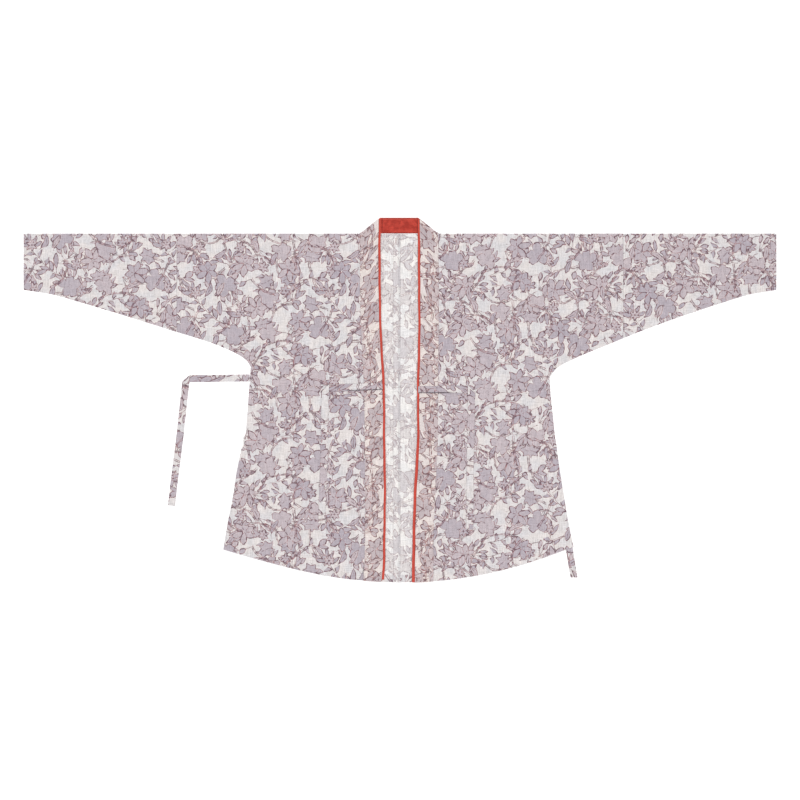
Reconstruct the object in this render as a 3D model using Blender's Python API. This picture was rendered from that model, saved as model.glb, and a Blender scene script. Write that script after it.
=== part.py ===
"""A hanfu jacket with a straight collar and four cloth ties, laid flat and face up.

X runs from cuff to cuff, +Y from the hem to the neck, and +Z up from the surface
that the jacket lies on. Right and left are the wearer's, so the right half is at -X.
Plan positions are given as "out", the distance from the centre line, and "down", the
distance below the shoulder fold. All sizes are in metres.
"""

import math
from collections import namedtuple

import bmesh
import bpy
from mathutils import Vector

# The cut
SPAN = 1.800
LENGTH = 0.835
SLEEVE_SEAM = 0.534
COLLAR_WIDTH = 0.044
PIPING = 0.0055
NECK_RISE = 0.0330
TIE_WIDTH = 0.017
ALLOWANCE_WIDTH = 0.016

# The cloth, the space between two layers of it, and the height from one layer to the next
CLOTH = 0.0010
GAP = 0.0003
LAYER = CLOTH + GAP

# Layers counted up from the floor
BACK_LAYER = 0
INNER_LAYER = 1
FRONT_LAYER = 2
BAND_LAYER = 3

HANDS = {"right": -1, "left": 1}

Edge = namedtuple("Edge", "out down")
Slit = namedtuple("Slit", "down step")
Ridge = namedtuple("Ridge", "start end width height")
Tie = namedtuple("Tie", "root corner end")
Finish = namedtuple("Finish", "colour roughness")

# The underarm seam, from the armpit out to the cuff
UNDERARM = {
    "right": (
        Edge(out=0.3570, down=0.3190),
        Edge(out=0.3610, down=0.3100),
        Edge(out=0.3713, down=0.2992),
        Edge(out=0.3957, down=0.2848),
        Edge(out=0.4365, down=0.2668),
        Edge(out=0.479, down=0.2520),
        Edge(out=0.525, down=0.2383),
        Edge(out=0.574, down=0.2228),
        Edge(out=0.670, down=0.193),
        Edge(out=0.766, down=0.164),
        Edge(out=0.838, down=0.144),
        Edge(out=0.900, down=0.135),
    ),
    "left": (
        Edge(out=0.358, down=0.345),
        Edge(out=0.371, down=0.3242),
        Edge(out=0.407, down=0.3038),
        Edge(out=0.450, down=0.2848),
        Edge(out=0.500, down=0.2645),
        Edge(out=0.574, down=0.2343),
        Edge(out=0.670, down=0.1990),
        Edge(out=0.766, down=0.167),
        Edge(out=0.838, down=0.145),
        Edge(out=0.900, down=0.135),
    ),
}

# The hem of each half, from just past the centre line out to the side
HEM = {
    "right": (
        Edge(out=-0.060, down=0.8322),
        Edge(out=0.000, down=0.8350),
        Edge(out=0.060, down=0.8322),
        Edge(out=0.132, down=0.8258),
        Edge(out=0.203, down=0.8138),
        Edge(out=0.275, down=0.7970),
        Edge(out=0.347, down=0.7773),
        Edge(out=0.423, down=0.7545),
    ),
    "left": (
        Edge(out=-0.060, down=0.8332),
        Edge(out=0.000, down=0.8350),
        Edge(out=0.060, down=0.8332),
        Edge(out=0.130, down=0.8267),
        Edge(out=0.200, down=0.8152),
        Edge(out=0.270, down=0.7986),
        Edge(out=0.340, down=0.7767),
        Edge(out=0.417, down=0.7480),
    ),
}

# The side seam's line, from the armpit to the hem
SIDE = {
    "right": (
        Edge(out=0.3570, down=0.3190),
        Edge(out=0.3575, down=0.3300),
        Edge(out=0.3590, down=0.3450),
        Edge(out=0.363, down=0.400),
        Edge(out=0.369, down=0.476),
        Edge(out=0.3745, down=0.514),
        Edge(out=0.3865, down=0.572),
        Edge(out=0.395, down=0.630),
        Edge(out=0.4065, down=0.687),
        Edge(out=0.418, down=0.756),
    ),
    "left": (
        Edge(out=0.358, down=0.345),
        Edge(out=0.3585, down=0.366),
        Edge(out=0.364, down=0.419),
        Edge(out=0.370, down=0.476),
        Edge(out=0.3765, down=0.534),
        Edge(out=0.385, down=0.591),
        Edge(out=0.3945, down=0.649),
        Edge(out=0.4045, down=0.706),
        Edge(out=0.4138, down=0.749),
    ),
}

# Below the side slits the free edges lie a little past the seam's line
SLITS = {
    ("right", "front"): Slit(down=0.511, step=0.0045),
    ("right", "back"): Slit(down=0.483, step=0.0040),
    ("left", "front"): Slit(down=0.500, step=0.0010),
    ("left", "back"): Slit(down=0.490, step=0.0010),
}
SLIT_CORNER = 0.002

# The collar's fold edge, down the front opening
COLLAR_EDGE = {
    "right": (
        Edge(out=0.0512, down=0.000),
        Edge(out=0.0515, down=0.160),
        Edge(out=0.0426, down=0.364),
        Edge(out=0.0402, down=0.500),
        Edge(out=0.0402, down=0.760),
        Edge(out=0.0445, down=0.835),
    ),
    "left": (
        Edge(out=0.0472, down=0.000),
        Edge(out=0.0493, down=0.160),
        Edge(out=0.0467, down=0.364),
        Edge(out=0.0460, down=0.495),
        Edge(out=0.0419, down=0.591),
        Edge(out=0.0366, down=0.711),
        Edge(out=0.0359, down=0.835),
    ),
}

# Soft ridges where the front lies a little loose over the back
RIDGES = {
    "right": (
        Ridge(start=Edge(0.330, 0.330), end=Edge(0.160, 0.250), width=0.055, height=0.0016),
        Ridge(start=Edge(0.300, 0.430), end=Edge(0.345, 0.730), width=0.050, height=0.0018),
        Ridge(start=Edge(0.140, 0.480), end=Edge(0.150, 0.780), width=0.045, height=0.0012),
        Ridge(start=Edge(0.440, 0.180), end=Edge(0.800, 0.085), width=0.045, height=0.0018),
    ),
    "left": (
        Ridge(start=Edge(0.330, 0.310), end=Edge(0.170, 0.170), width=0.055, height=0.0018),
        Ridge(start=Edge(0.250, 0.450), end=Edge(0.270, 0.760), width=0.050, height=0.0016),
        Ridge(start=Edge(0.330, 0.520), end=Edge(0.360, 0.700), width=0.045, height=0.0012),
        Ridge(start=Edge(0.420, 0.200), end=Edge(0.820, 0.070), width=0.045, height=0.0018),
    ),
}
CALM_EDGE = 0.050
SEAM_SLOPE = 0.025

FRONT_TIES = {
    "right": Tie(root=Edge(0.0436, 0.3655), corner=Edge(0.178, 0.370), end=Edge(0.1865, 0.693)),
    "left": Tie(root=Edge(0.0477, 0.3735), corner=Edge(0.171, 0.3725), end=Edge(0.166, 0.707)),
}
SIDE_TIE = Tie(root=Edge(0.3600, 0.3453), corner=Edge(0.5115, 0.3470), end=Edge(0.5465, 0.651))
TIE_REST = 0.0005
TIE_SETTLES_OVER = 0.020
INNER_TIE_ROOT_DOWN = 0.365
INNER_TIE_INSET = 0.001
TIE_PAST_HEM = 0.012
INNER_TIE_END = Edge(out=0.4165, down=0.823)

# How many cells each stretch of cloth has
BODY_COLUMNS = 10
ARM_COLUMNS = 8
ARM_SPACING = 1.8
NECK_COLUMNS = 3
YOKE_ROWS = 12
SKIRT_ROWS = 17
BACK_YOKE_ROWS = 4
BACK_SKIRT_ROWS = 9
FOLD_STEPS = 4
SLEEVE_COLUMNS = 12
SLEEVE_ROWS = 6
BACK_SLEEVE_ROWS = 2
COLLAR_ROWS = 28
COLLAR_COLUMNS = 4
BACK_NECK_ROWS = 4
TIE_CELL = 0.022

FINISHES = {
    "printed_cloth": Finish(colour=(0.53, 0.47, 0.49), roughness=0.85),
    "collar_cloth": Finish(colour=(0.55, 0.47, 0.46), roughness=0.85),
    "wrong_side": Finish(colour=(0.75, 0.72, 0.70), roughness=0.85),
    "red_cloth": Finish(colour=(0.47, 0.06, 0.045), roughness=0.80),
}

# The collar's fold line leaves its seam level, bends, and rises straight across the collar
FOLD_HINGE = 0.0043
FOLD_SOFTNESS = 0.0020


def past_hinge(across):
    past = across - FOLD_HINGE
    return (math.hypot(past, FOLD_SOFTNESS) + past) / 2


FOLD_SLOPE = NECK_RISE / past_hinge(COLLAR_WIDTH)
FOLD_LENGTH = math.hypot(COLLAR_WIDTH, NECK_RISE)
# The collar turns over an axis half way up its four layers
COLLAR_AXIS = (BAND_LAYER * LAYER + CLOTH) / 2
FACING_REACH = COLLAR_WIDTH + PIPING
FACING_RISE = FOLD_SLOPE * past_hinge(FACING_REACH)
COLLAR_TOP = FACING_RISE + GAP + (COLLAR_AXIS - LAYER) * COLLAR_WIDTH / FOLD_LENGTH
SHOULDER_Y = (LENGTH - COLLAR_TOP) / 2
# The outer face of the shoulder fold is a half round of this radius
FOLD_RADIUS = (FRONT_LAYER * LAYER + CLOTH) / 2


def level(layer):
    """The height of the underside of a layer."""
    return layer * LAYER


def in_plan(hand, out, down, z):
    return Vector((HANDS[hand] * out, SHOULDER_Y - down, z))


def eased(share):
    """0 below 0, 1 above 1, and a smooth step between."""
    share = min(1.0, max(0.0, share))
    return share * share * (3 - 2 * share)


def curve_through(rows, known, wanted, at):
    """A smooth curve through a table's rows: the wanted column where the known one is at."""
    keys = [getattr(row, known) for row in rows]
    values = [getattr(row, wanted) for row in rows]
    slopes = [
        (values[min(i + 1, len(rows) - 1)] - values[max(i - 1, 0)])
        / (keys[min(i + 1, len(rows) - 1)] - keys[max(i - 1, 0)])
        for i in range(len(rows))
    ]
    if at <= keys[0]:
        return values[0]
    if at >= keys[-1]:
        return values[-1]
    i = max(k for k in range(len(rows) - 1) if keys[k] <= at)
    span = keys[i + 1] - keys[i]
    u = (at - keys[i]) / span
    return (
        values[i] * (1 + 2 * u) * (1 - u) ** 2
        + values[i + 1] * u * u * (3 - 2 * u)
        + span * u * (1 - u) * (slopes[i] * (1 - u) - slopes[i + 1] * u)
    )


def underarm(hand, out):
    return curve_through(UNDERARM[hand], "out", "down", out)


def side(hand, down):
    return curve_through(SIDE[hand], "down", "out", down)


def skirt_edge(hand, layer, down):
    """The front's or the back's side edge: the seam, and below the slit a step past it."""
    slit = SLITS[hand, layer]
    share = min(1.0, max(0.0, (down - slit.down) / SLIT_CORNER))
    return side(hand, down) + slit.step * share


def skirt_shares(hand, layer, count):
    """Shares of the drop from the armpit to the hem: even ones, and two at the slit's top."""
    top, corner, slit = armpit(hand).down, SIDE[hand][-1].down, SLITS[hand, layer]
    at_slit = [(down - top) / (corner - top) for down in (slit.down, slit.down + SLIT_CORNER)]
    return sorted(shares(count)[1:] + at_slit)


def collar_edge(hand, down):
    return curve_through(COLLAR_EDGE[hand], "down", "out", down)


def collar_seam(hand, down):
    return collar_edge(hand, down) + COLLAR_WIDTH


def hem(hand, out):
    """How far down the hem is at a distance from the centre."""
    return curve_through(HEM[hand], "out", "down", out)


def armpit(hand):
    return UNDERARM[hand][0]


def from_sewn_edge(hand, out, down):
    """How far a point of the front lies inside the side seam and the underarm seam."""
    pit = armpit(hand)
    if down > pit.down:
        return side(hand, down) - out
    if out > pit.out:
        return underarm(hand, out) - down
    return math.hypot(out - pit.out, down - pit.down)


def ridge_height(ridge, out, down):
    """A ridge's height at a point: round across, and running out to nothing at its ends."""
    along = (ridge.end.out - ridge.start.out, ridge.end.down - ridge.start.down)
    length = math.hypot(*along)
    away = (out - ridge.start.out, down - ridge.start.down)
    share = (away[0] * along[0] + away[1] * along[1]) / length**2
    across = (away[0] * along[1] - away[1] * along[0]) / length
    ends = eased(2 * share) * eased(2 * (1 - share))
    return ridge.height * ends * math.exp(-((across / ridge.width) ** 2))


def front_under(hand, out, down):
    """The height of the front's underside, which comes down to the back at the seams."""
    inside = from_sewn_edge(hand, out, down)
    opening = out - collar_seam(hand, down)
    calm = eased(inside / CALM_EDGE) * eased(down / CALM_EDGE) * eased(opening / CALM_EDGE)
    loose = sum(ridge_height(ridge, out, down) for ridge in RIDGES[hand])
    sewn_down = 1 - eased(inside / SEAM_SLOPE)
    sewn_down *= eased(down / SEAM_SLOPE)
    if hand == "left":
        # The inner tie lies between the layers along this side
        sewn_down *= eased((out - armpit(hand).out) / CALM_EDGE - 1)
    return level(FRONT_LAYER) - LAYER * sewn_down + loose * calm


def wall(name, grid, finish):
    """A cloth wall from a grid of point pairs, one on each face, with a rim round its outline."""
    mesh = bmesh.new()
    faces = {key: [mesh.verts.new(point) for point in pair] for key, pair in grid.items()}
    sides = set()
    for row, column in grid:
        ring = [(row, column), (row, column + 1), (row + 1, column + 1), (row + 1, column)]
        if all(key in grid for key in ring):
            mesh.faces.new([faces[key][1] for key in ring])
            mesh.faces.new([faces[key][0] for key in reversed(ring)])
            sides.update(zip(ring, ring[1:] + ring[:1]))
    for a, b in sides:
        if (b, a) not in sides:
            mesh.faces.new([faces[b][1], faces[a][1], faces[a][0], faces[b][0]])
    bmesh.ops.recalc_face_normals(mesh, faces=mesh.faces)
    data = bpy.data.meshes.new(name)
    mesh.to_mesh(data)
    mesh.free()
    data.materials.append(material(finish))
    data.shade_smooth()
    data.set_sharp_from_angle(angle=math.radians(35))
    cloth = bpy.data.objects.new(name, data)
    bpy.context.scene.collection.objects.link(cloth)


def grid_of(rows):
    """A grid by (row, column) from a list of rows, each a dictionary by column."""
    return {(i, column): pair for i, row in enumerate(rows) for column, pair in row.items()}


def material(name):
    """A plain Principled material, made the first time that it is asked for."""
    if name in bpy.data.materials:
        return bpy.data.materials[name]
    made = bpy.data.materials.new(name)
    made.use_nodes = True
    shader = made.node_tree.nodes["Principled BSDF"]
    shader.inputs["Base Color"].default_value = (*FINISHES[name].colour, 1.0)
    shader.inputs["Roughness"].default_value = FINISHES[name].roughness
    made.diffuse_color = (*FINISHES[name].colour, 1.0)
    return made


def front_pair(hand, out, down):
    """The inner and outer face of the front at a point."""
    under = front_under(hand, out, down)
    return in_plan(hand, out, down, under), in_plan(hand, out, down, under + CLOTH)


def back_pair(hand, out, down):
    """The inner and outer face of the back, whose outer face is on the floor."""
    return in_plan(hand, out, down, CLOTH), in_plan(hand, out, down, 0.0)


def shoulder_pair(hand, out, turn):
    """The cloth as it goes over the shoulder fold, from 0 at the front to 1 at the back."""
    angle = math.pi * turn
    pair = []
    for radius in (FOLD_RADIUS - CLOTH, FOLD_RADIUS):
        down = FOLD_RADIUS - radius * math.sin(angle)
        pair.append(in_plan(hand, out, down, FOLD_RADIUS + radius * math.cos(angle)))
    return tuple(pair)


def shares(count):
    return [i / count for i in range(count + 1)]


def mixed(a, b, share):
    return a + (b - a) * share


def spaced(a, b, count):
    return [mixed(a, b, share) for share in shares(count)]


def body_front(hand, arm_outs):
    """The front's rows of point pairs, by column, from the hem up to the shoulder."""
    pit = armpit(hand)
    corner = SIDE[hand][-1]
    rows = []
    for share in reversed(skirt_shares(hand, "front", SKIRT_ROWS)):
        row = {}
        for column, across in enumerate(shares(BODY_COLUMNS)):
            foot = hem(hand, mixed(collar_seam(hand, LENGTH), corner.out, across))
            down = mixed(pit.down, foot, share)
            edge = skirt_edge(hand, "front", down)
            out = mixed(collar_seam(hand, down) + GAP, edge, across)
            row[column] = front_pair(hand, out, down)
        rows.append(row)
    for share in reversed(shares(YOKE_ROWS)[1:]):
        down = mixed(FOLD_RADIUS, pit.down, share)
        row = {}
        for column, out in enumerate(spaced(collar_seam(hand, down) + GAP, pit.out, BODY_COLUMNS)):
            row[column] = front_pair(hand, out, down)
        for column, out in enumerate(arm_outs, BODY_COLUMNS + 1):
            row[column] = front_pair(hand, out, mixed(FOLD_RADIUS, underarm(hand, out), share))
        rows.append(row)
    return rows


def body_back(hand, arm_outs):
    """The back's rows, from below the shoulder down to the hem and in to the centre seam."""
    pit = armpit(hand)
    corner = SIDE[hand][-1]
    neck_out = collar_seam(hand, 0) + GAP
    inner = list(enumerate(spaced(GAP / 2, neck_out, NECK_COLUMNS)[:-1], -NECK_COLUMNS))
    rows = []
    for share in shares(BACK_YOKE_ROWS)[1:]:
        down = mixed(FOLD_RADIUS, pit.down, share)
        outs = inner + list(enumerate(spaced(neck_out, pit.out, BODY_COLUMNS)))
        row = {column: back_pair(hand, out, down) for column, out in outs}
        for column, out in enumerate(arm_outs, BODY_COLUMNS + 1):
            row[column] = back_pair(hand, out, mixed(FOLD_RADIUS, underarm(hand, out), share))
        rows.append(row)
    for share in skirt_shares(hand, "back", BACK_SKIRT_ROWS):
        row = {}
        for column, out in inner:
            row[column] = back_pair(hand, out, mixed(pit.down, hem(hand, out), share))
        for column, across in enumerate(shares(BODY_COLUMNS)):
            foot = hem(hand, mixed(neck_out, corner.out, across))
            down = mixed(pit.down, foot, share)
            out = mixed(neck_out, skirt_edge(hand, "back", down), across)
            row[column] = back_pair(hand, out, down)
        rows.append(row)
    return rows


def over_the_shoulder(hand, outs):
    """The rows that go over the shoulder fold."""
    return [
        {column: shoulder_pair(hand, out, turn) for column, out in enumerate(outs)}
        for turn in shares(FOLD_STEPS)
    ]


def body(hand):
    """Half of the body, with front and back cut in one piece and folded at the shoulder."""
    pit = armpit(hand)
    neck_out = collar_seam(hand, 0) + GAP
    seam_out = SLEEVE_SEAM - GAP / 2
    arm_outs = [
        mixed(pit.out, seam_out, share**ARM_SPACING) for share in shares(ARM_COLUMNS)[1:]
    ]
    folded = over_the_shoulder(hand, spaced(neck_out, pit.out, BODY_COLUMNS) + arm_outs)
    # Behind the neck the back ends at an edge just below the collar
    for column, out in enumerate(spaced(GAP / 2, neck_out, NECK_COLUMNS)[:-1], -NECK_COLUMNS):
        folded[-1][column] = back_pair(hand, out, GAP)
    rows = body_front(hand, arm_outs) + folded + body_back(hand, arm_outs)
    wall(f"body_{hand}", grid_of(rows), "printed_cloth")


def sleeve(hand):
    """The end of the sleeve, joined on past the body's cloth and folded along the shoulder."""
    outs = spaced(SLEEVE_SEAM + GAP / 2, SPAN / 2, SLEEVE_COLUMNS)

    def stretch(pair, row_shares):
        return [
            {
                column: pair(hand, out, mixed(FOLD_RADIUS, underarm(hand, out), share))
                for column, out in enumerate(outs)
            }
            for share in row_shares
        ]

    front = stretch(front_pair, reversed(shares(SLEEVE_ROWS)[1:]))
    back = stretch(back_pair, shares(BACK_SLEEVE_ROWS)[1:])
    rows = front + over_the_shoulder(hand, outs) + back
    wall(f"sleeve_{hand}", grid_of(rows), "printed_cloth")


def on_fold_line(hand, across):
    """Where the collar's fold line is met by the thread that lies this far across the collar."""
    rise = FOLD_SLOPE * past_hinge(across)
    return Edge(out=collar_seam(hand, 0) - across, down=-GAP - rise)


def collar_front_pair(hand, across, share, radii):
    """A point of the collar's front stretch, from 0 at the fold line to 1 at the hem."""
    start = on_fold_line(hand, across)
    foot = hem(hand, collar_seam(hand, LENGTH) - across)
    down = mixed(start.down, foot, share)
    out = collar_seam(hand, down) - across
    return tuple(in_plan(hand, out, down, COLLAR_AXIS + radius) for radius in radii)


def collar_fold_pair(hand, across, turn, radii):
    """A point of the collar as it turns over its diagonal fold, from 0 in front to 1 behind."""
    start = on_fold_line(hand, across)
    angle = math.pi * turn
    pair = []
    for radius in radii:
        reach = radius * math.sin(angle) / FOLD_LENGTH
        out = start.out + reach * NECK_RISE
        down = start.down - reach * COLLAR_WIDTH
        pair.append(in_plan(hand, out, down, COLLAR_AXIS + radius * math.cos(angle)))
    return tuple(pair)


def collar_back_pair(across, share, radii):
    """A point of the collar behind the neck, from 0 at the right fold to 1 at the left fold."""
    ends = [collar_fold_pair(hand, across, 1, radii) for hand in HANDS]
    return tuple(right.lerp(left, share) for right, left in zip(*ends))


def collar(name, reach, radii, finish):
    """One straight strip: up the right front, round behind the neck and down the left front."""
    turns = shares(FOLD_STEPS)[1:-1]
    places = [COLLAR_WIDTH * share for share in shares(COLLAR_COLUMNS)]
    if reach > COLLAR_WIDTH:
        places.append(reach)
    grid = {}
    for column, across in enumerate(places):
        strip = [
            collar_front_pair("right", across, share, radii)
            for share in reversed(shares(COLLAR_ROWS))
        ]
        strip += [collar_fold_pair("right", across, turn, radii) for turn in turns]
        strip += [collar_back_pair(across, share, radii) for share in shares(BACK_NECK_ROWS)]
        strip += [collar_fold_pair("left", across, turn, radii) for turn in reversed(turns)]
        strip += [collar_front_pair("left", across, share, radii) for share in shares(COLLAR_ROWS)]
        for row, pair in enumerate(strip):
            grid[row, column] = pair
    wall(name, grid, finish)


def centre_seam_allowance():
    """The centre back seam's turnings, pressed to the right inside the back."""
    hand = "right"
    under = level(INNER_LAYER)
    rows = []
    for share in shares(BACK_SKIRT_ROWS):
        row = {}
        for column, out in enumerate((0.0, ALLOWANCE_WIDTH)):
            down = mixed(2 * GAP, hem(hand, out) - GAP, share)
            row[column] = tuple(in_plan(hand, out, down, z) for z in (under, under + CLOTH))
        rows.append(row)
    wall("centre_seam_allowance", grid_of(rows), "wrong_side")


def tie_rows(distance):
    return shares(max(1, round(distance / TIE_CELL)))


def folded_tie(name, hand, tie, surface):
    """A flat tie that runs out from its root, turns over a diagonal fold and runs on to its end."""
    root, corner, end = (Vector((edge.out, edge.down)) for edge in tie)
    going = (corner - root).normalized()
    leaving = (end - corner).normalized()
    across = Vector((-going.y, going.x))
    fold_way = (going + leaving).normalized()
    outward = (going - leaving).normalized()
    first_rows = tie_rows((corner - root).length)
    run = (end - corner).length
    settles = TIE_WIDTH / 2 + GAP
    later = [settles, settles + TIE_SETTLES_OVER]
    later += [mixed(later[-1], run, share) for share in tie_rows(run - later[-1])[1:]]
    grid = {}
    for column, edge in enumerate((-TIE_WIDTH / 2, TIE_WIDTH / 2)):
        start = root + across * edge
        turn_at = corner + fold_way * (edge / across.dot(fold_way))
        pairs = []
        for share in first_rows:
            point = start.lerp(turn_at, share)
            under = surface(point.x, point.y)
            pairs.append(
                (in_plan(hand, *point, under), in_plan(hand, *point, under + CLOTH))
            )
        axis = surface(*turn_at) + CLOTH + GAP / 2
        for turn in shares(FOLD_STEPS)[1:]:
            angle = math.pi * turn
            pair = []
            for radius in (CLOTH + GAP / 2, GAP / 2):
                point = turn_at + outward * (radius * math.sin(angle))
                pair.append(in_plan(hand, *point, axis - radius * math.cos(angle)))
            pairs.append(tuple(pair))
        for distance in later:
            ahead = distance - (turn_at - corner).dot(leaving)
            point = turn_at + leaving * ahead
            raised = 1 - eased((distance - settles) / TIE_SETTLES_OVER)
            under = surface(*point) + LAYER * raised
            pairs.append(
                (in_plan(hand, *point, under + CLOTH), in_plan(hand, *point, under))
            )
        for row, pair in enumerate(pairs):
            grid[row, column] = pair
    wall(name, grid, "printed_cloth")


def front_tie(hand):
    """A tie sewn to the collar's fold edge, lying across the collar and down the front."""

    def surface(out, down):
        on_panel = front_under(hand, max(out, collar_seam(hand, down)), down) + CLOTH + TIE_REST
        on_band = level(BAND_LAYER) + LAYER
        past_band = (out - collar_seam(hand, down) - 2 * GAP) / TIE_SETTLES_OVER
        return max(on_panel, mixed(on_band, on_panel, eased(past_band)))

    folded_tie(f"tie_front_{hand}", hand, FRONT_TIES[hand], surface)


def side_tie():
    """The tie sewn into the right side seam, lying on the floor beside the jacket."""
    folded_tie("tie_side_right", "right", SIDE_TIE, lambda out, down: 0.0)


def inner_tie():
    """The tie sewn inside the left side seam. It lies between front and back, and its end shows."""
    hand = "left"
    corner = SIDE[hand][-1]
    inside = INNER_TIE_INSET + TIE_WIDTH / 2
    points = []
    for share in tie_rows(corner.down - INNER_TIE_ROOT_DOWN):
        down = mixed(INNER_TIE_ROOT_DOWN, corner.down, share)
        points.append(Edge(out=side(hand, down) - inside, down=down))
    last = points[-1]
    for share in tie_rows(INNER_TIE_END.down - corner.down)[1:]:
        out = mixed(last.out, INNER_TIE_END.out, share)
        points.append(Edge(out=out, down=mixed(last.down, INNER_TIE_END.down, share)))
    grid = {}
    for row, point in enumerate(points):
        past_hem = point.down - hem(hand, point.out - TIE_WIDTH / 2) - TIE_PAST_HEM
        off_the_back = eased(past_hem / TIE_SETTLES_OVER)
        under = level(INNER_LAYER) * (1 - off_the_back)
        for column, edge in enumerate((-TIE_WIDTH / 2, TIE_WIDTH / 2)):
            grid[row, column] = tuple(
                in_plan(hand, point.out + edge, point.down, z) for z in (under, under + CLOTH)
            )
    wall("tie_inner_left", grid, "printed_cloth")


def build():
    for old in list(bpy.data.objects):
        bpy.data.objects.remove(old)
    for hand in HANDS:
        body(hand)
        sleeve(hand)
        front_tie(hand)
    outer = COLLAR_AXIS
    collar("collar_band", COLLAR_WIDTH, (outer - CLOTH, outer), "collar_cloth")
    inner = outer - LAYER
    collar("collar_facing", FACING_REACH, (inner - CLOTH, inner), "red_cloth")
    centre_seam_allowance()
    side_tie()
    inner_tie()


build()
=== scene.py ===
# %% [markdown]
# # A hanfu jacket, laid flat
# This is a light cotton jacket of the hanfu kind. It has a straight collar round the neck
# and down the front, straight sleeves that narrow to the cuff, side slits and four ties.
# It lies open on its back with the sleeves out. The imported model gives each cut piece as
# a plain wall of cloth. This script lays a thin sheet on each wall, prints it and sews it.

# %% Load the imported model
import math
from collections import namedtuple

import bmesh
import bpy
import numpy as np
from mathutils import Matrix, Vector
from mathutils.bvhtree import BVHTree


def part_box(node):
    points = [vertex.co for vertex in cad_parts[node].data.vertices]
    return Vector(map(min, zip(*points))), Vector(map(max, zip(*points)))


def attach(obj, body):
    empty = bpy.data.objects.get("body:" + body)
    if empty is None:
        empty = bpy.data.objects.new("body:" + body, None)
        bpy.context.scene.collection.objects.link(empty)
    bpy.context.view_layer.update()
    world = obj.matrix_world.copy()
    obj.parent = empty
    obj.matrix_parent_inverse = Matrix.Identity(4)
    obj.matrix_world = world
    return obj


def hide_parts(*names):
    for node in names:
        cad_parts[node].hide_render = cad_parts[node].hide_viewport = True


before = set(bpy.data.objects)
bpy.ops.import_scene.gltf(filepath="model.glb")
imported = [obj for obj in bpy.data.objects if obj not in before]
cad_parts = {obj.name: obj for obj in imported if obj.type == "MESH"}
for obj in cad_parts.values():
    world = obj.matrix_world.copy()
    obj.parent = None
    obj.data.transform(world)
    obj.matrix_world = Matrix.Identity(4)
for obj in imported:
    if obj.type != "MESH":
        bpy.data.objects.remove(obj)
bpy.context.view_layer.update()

bpy.ops.object.select_all(action="DESELECT")

# %% [markdown]
# ## Words for places on the jacket
# A dressmaker measures a garment from its centre line and from its shoulder. So "out" is
# the distance from the centre line, and "down" the distance below the shoulder fold.
# Right and left are the wearer's, and the right half lies at -X.

# %% Places
HANDS = {"right": -1, "left": 1}
SHOULDER_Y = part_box("body_right")[1][1]
FLAT_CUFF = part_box("sleeve_left")[1][0]
SLEEVE_SEAM = 0.534
ARMPIT = {"right": (0.357, 0.319), "left": (0.358, 0.345)}
BELOW_ARMPIT = 0.1
NEAR_HEM = 0.830
PAST_HEM = 0.840

Edge = namedtuple("Edge", "out down")


def in_plan(hand, out, down, z):
    """A point in metres from its place on the jacket."""
    return Vector((HANDS[hand] * out, SHOULDER_Y - down, z))


def eased(share):
    """0 below 0, 1 above 1, and a smooth step between."""
    share = min(1.0, max(0.0, share))
    return share * share * (3 - 2 * share)


def bell(away, width):
    """1 at a line and 0 far from it, for soft ridges and ditches."""
    return math.exp(-((away / width) ** 2))


def falling(depth, away, width):
    """How far a face falls towards an edge: depth at the edge, and 0 far from it."""
    return depth * math.exp(-away / width)


def mixed(a, b, share):
    return a + (b - a) * share


print("Shoulder fold at y =", round(SHOULDER_Y, 4), "and cuffs at x =", round(FLAT_CUFF, 4))

# %% [markdown]
# ## Reading the cut off the CAD
# A sheet has to end exactly where its solid ends. The outline could be typed in again as a
# table, but then the two could drift apart. Instead the solid is sliced: a plane across
# the jacket meets the solid's triangles at points, and the outermost of them are the
# edge. Front and back share one node, and their heights tell them apart.

# %% Slices of a node
SPLIT = 0.00115
SLICE = 0.001


def triangles_of(name):
    """A CAD node's triangles, as an array of corner points."""
    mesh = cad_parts[name].data
    mesh.calc_loop_triangles()
    points = np.array([vertex.co for vertex in mesh.vertices])
    corners = np.array([triangle.vertices for triangle in mesh.loop_triangles])
    return points[corners]


def cut_by_plane(triangles, axis, at):
    """Points where the plane across X (0) or Y (1) meets the triangles: (other axis, height)."""
    start = triangles
    along = np.roll(triangles, -1, axis=1) - start
    with np.errstate(divide="ignore", invalid="ignore"):
        share = (at - start[..., axis]) / along[..., axis]
    met = (share >= 0) & (share <= 1)
    points = start[met] + along[met] * share[met][:, None]
    return points[:, [1 - axis, 2]]


CLOTH_TRIANGLES = {
    hand: np.concatenate([triangles_of(f"body_{hand}"), triangles_of(f"sleeve_{hand}")])
    for hand in HANDS
}


def layer_points(points, layer):
    return points[points[:, 1] > SPLIT] if layer == "front" else points[points[:, 1] < SPLIT]


def edge_by_down(hand, layer, inner):
    """A table of the layer's inner or outer edge: how far out it is at each drop."""
    rows = []
    for down in np.arange(0.003, PAST_HEM, SLICE):
        points = cut_by_plane(CLOTH_TRIANGLES[hand], 1, SHOULDER_Y - down)
        outs = layer_points(points, layer)[:, 0] * HANDS[hand]
        if len(outs):
            rows.append((down, outs.min() if inner else outs.max()))
    return np.array(rows).T


def edge_by_out(hand, layer, start, end, lowest):
    """A table of the layer's lower edge from start to end: how far down it is at each out."""
    rows = []
    for out in np.arange(start, end, SLICE):
        points = cut_by_plane(CLOTH_TRIANGLES[hand], 0, HANDS[hand] * out)
        downs = SHOULDER_Y - layer_points(points, layer)[:, 0]
        downs = downs[downs < lowest]
        if len(downs):
            rows.append((out, downs.max()))
    return np.array(rows).T


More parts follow.
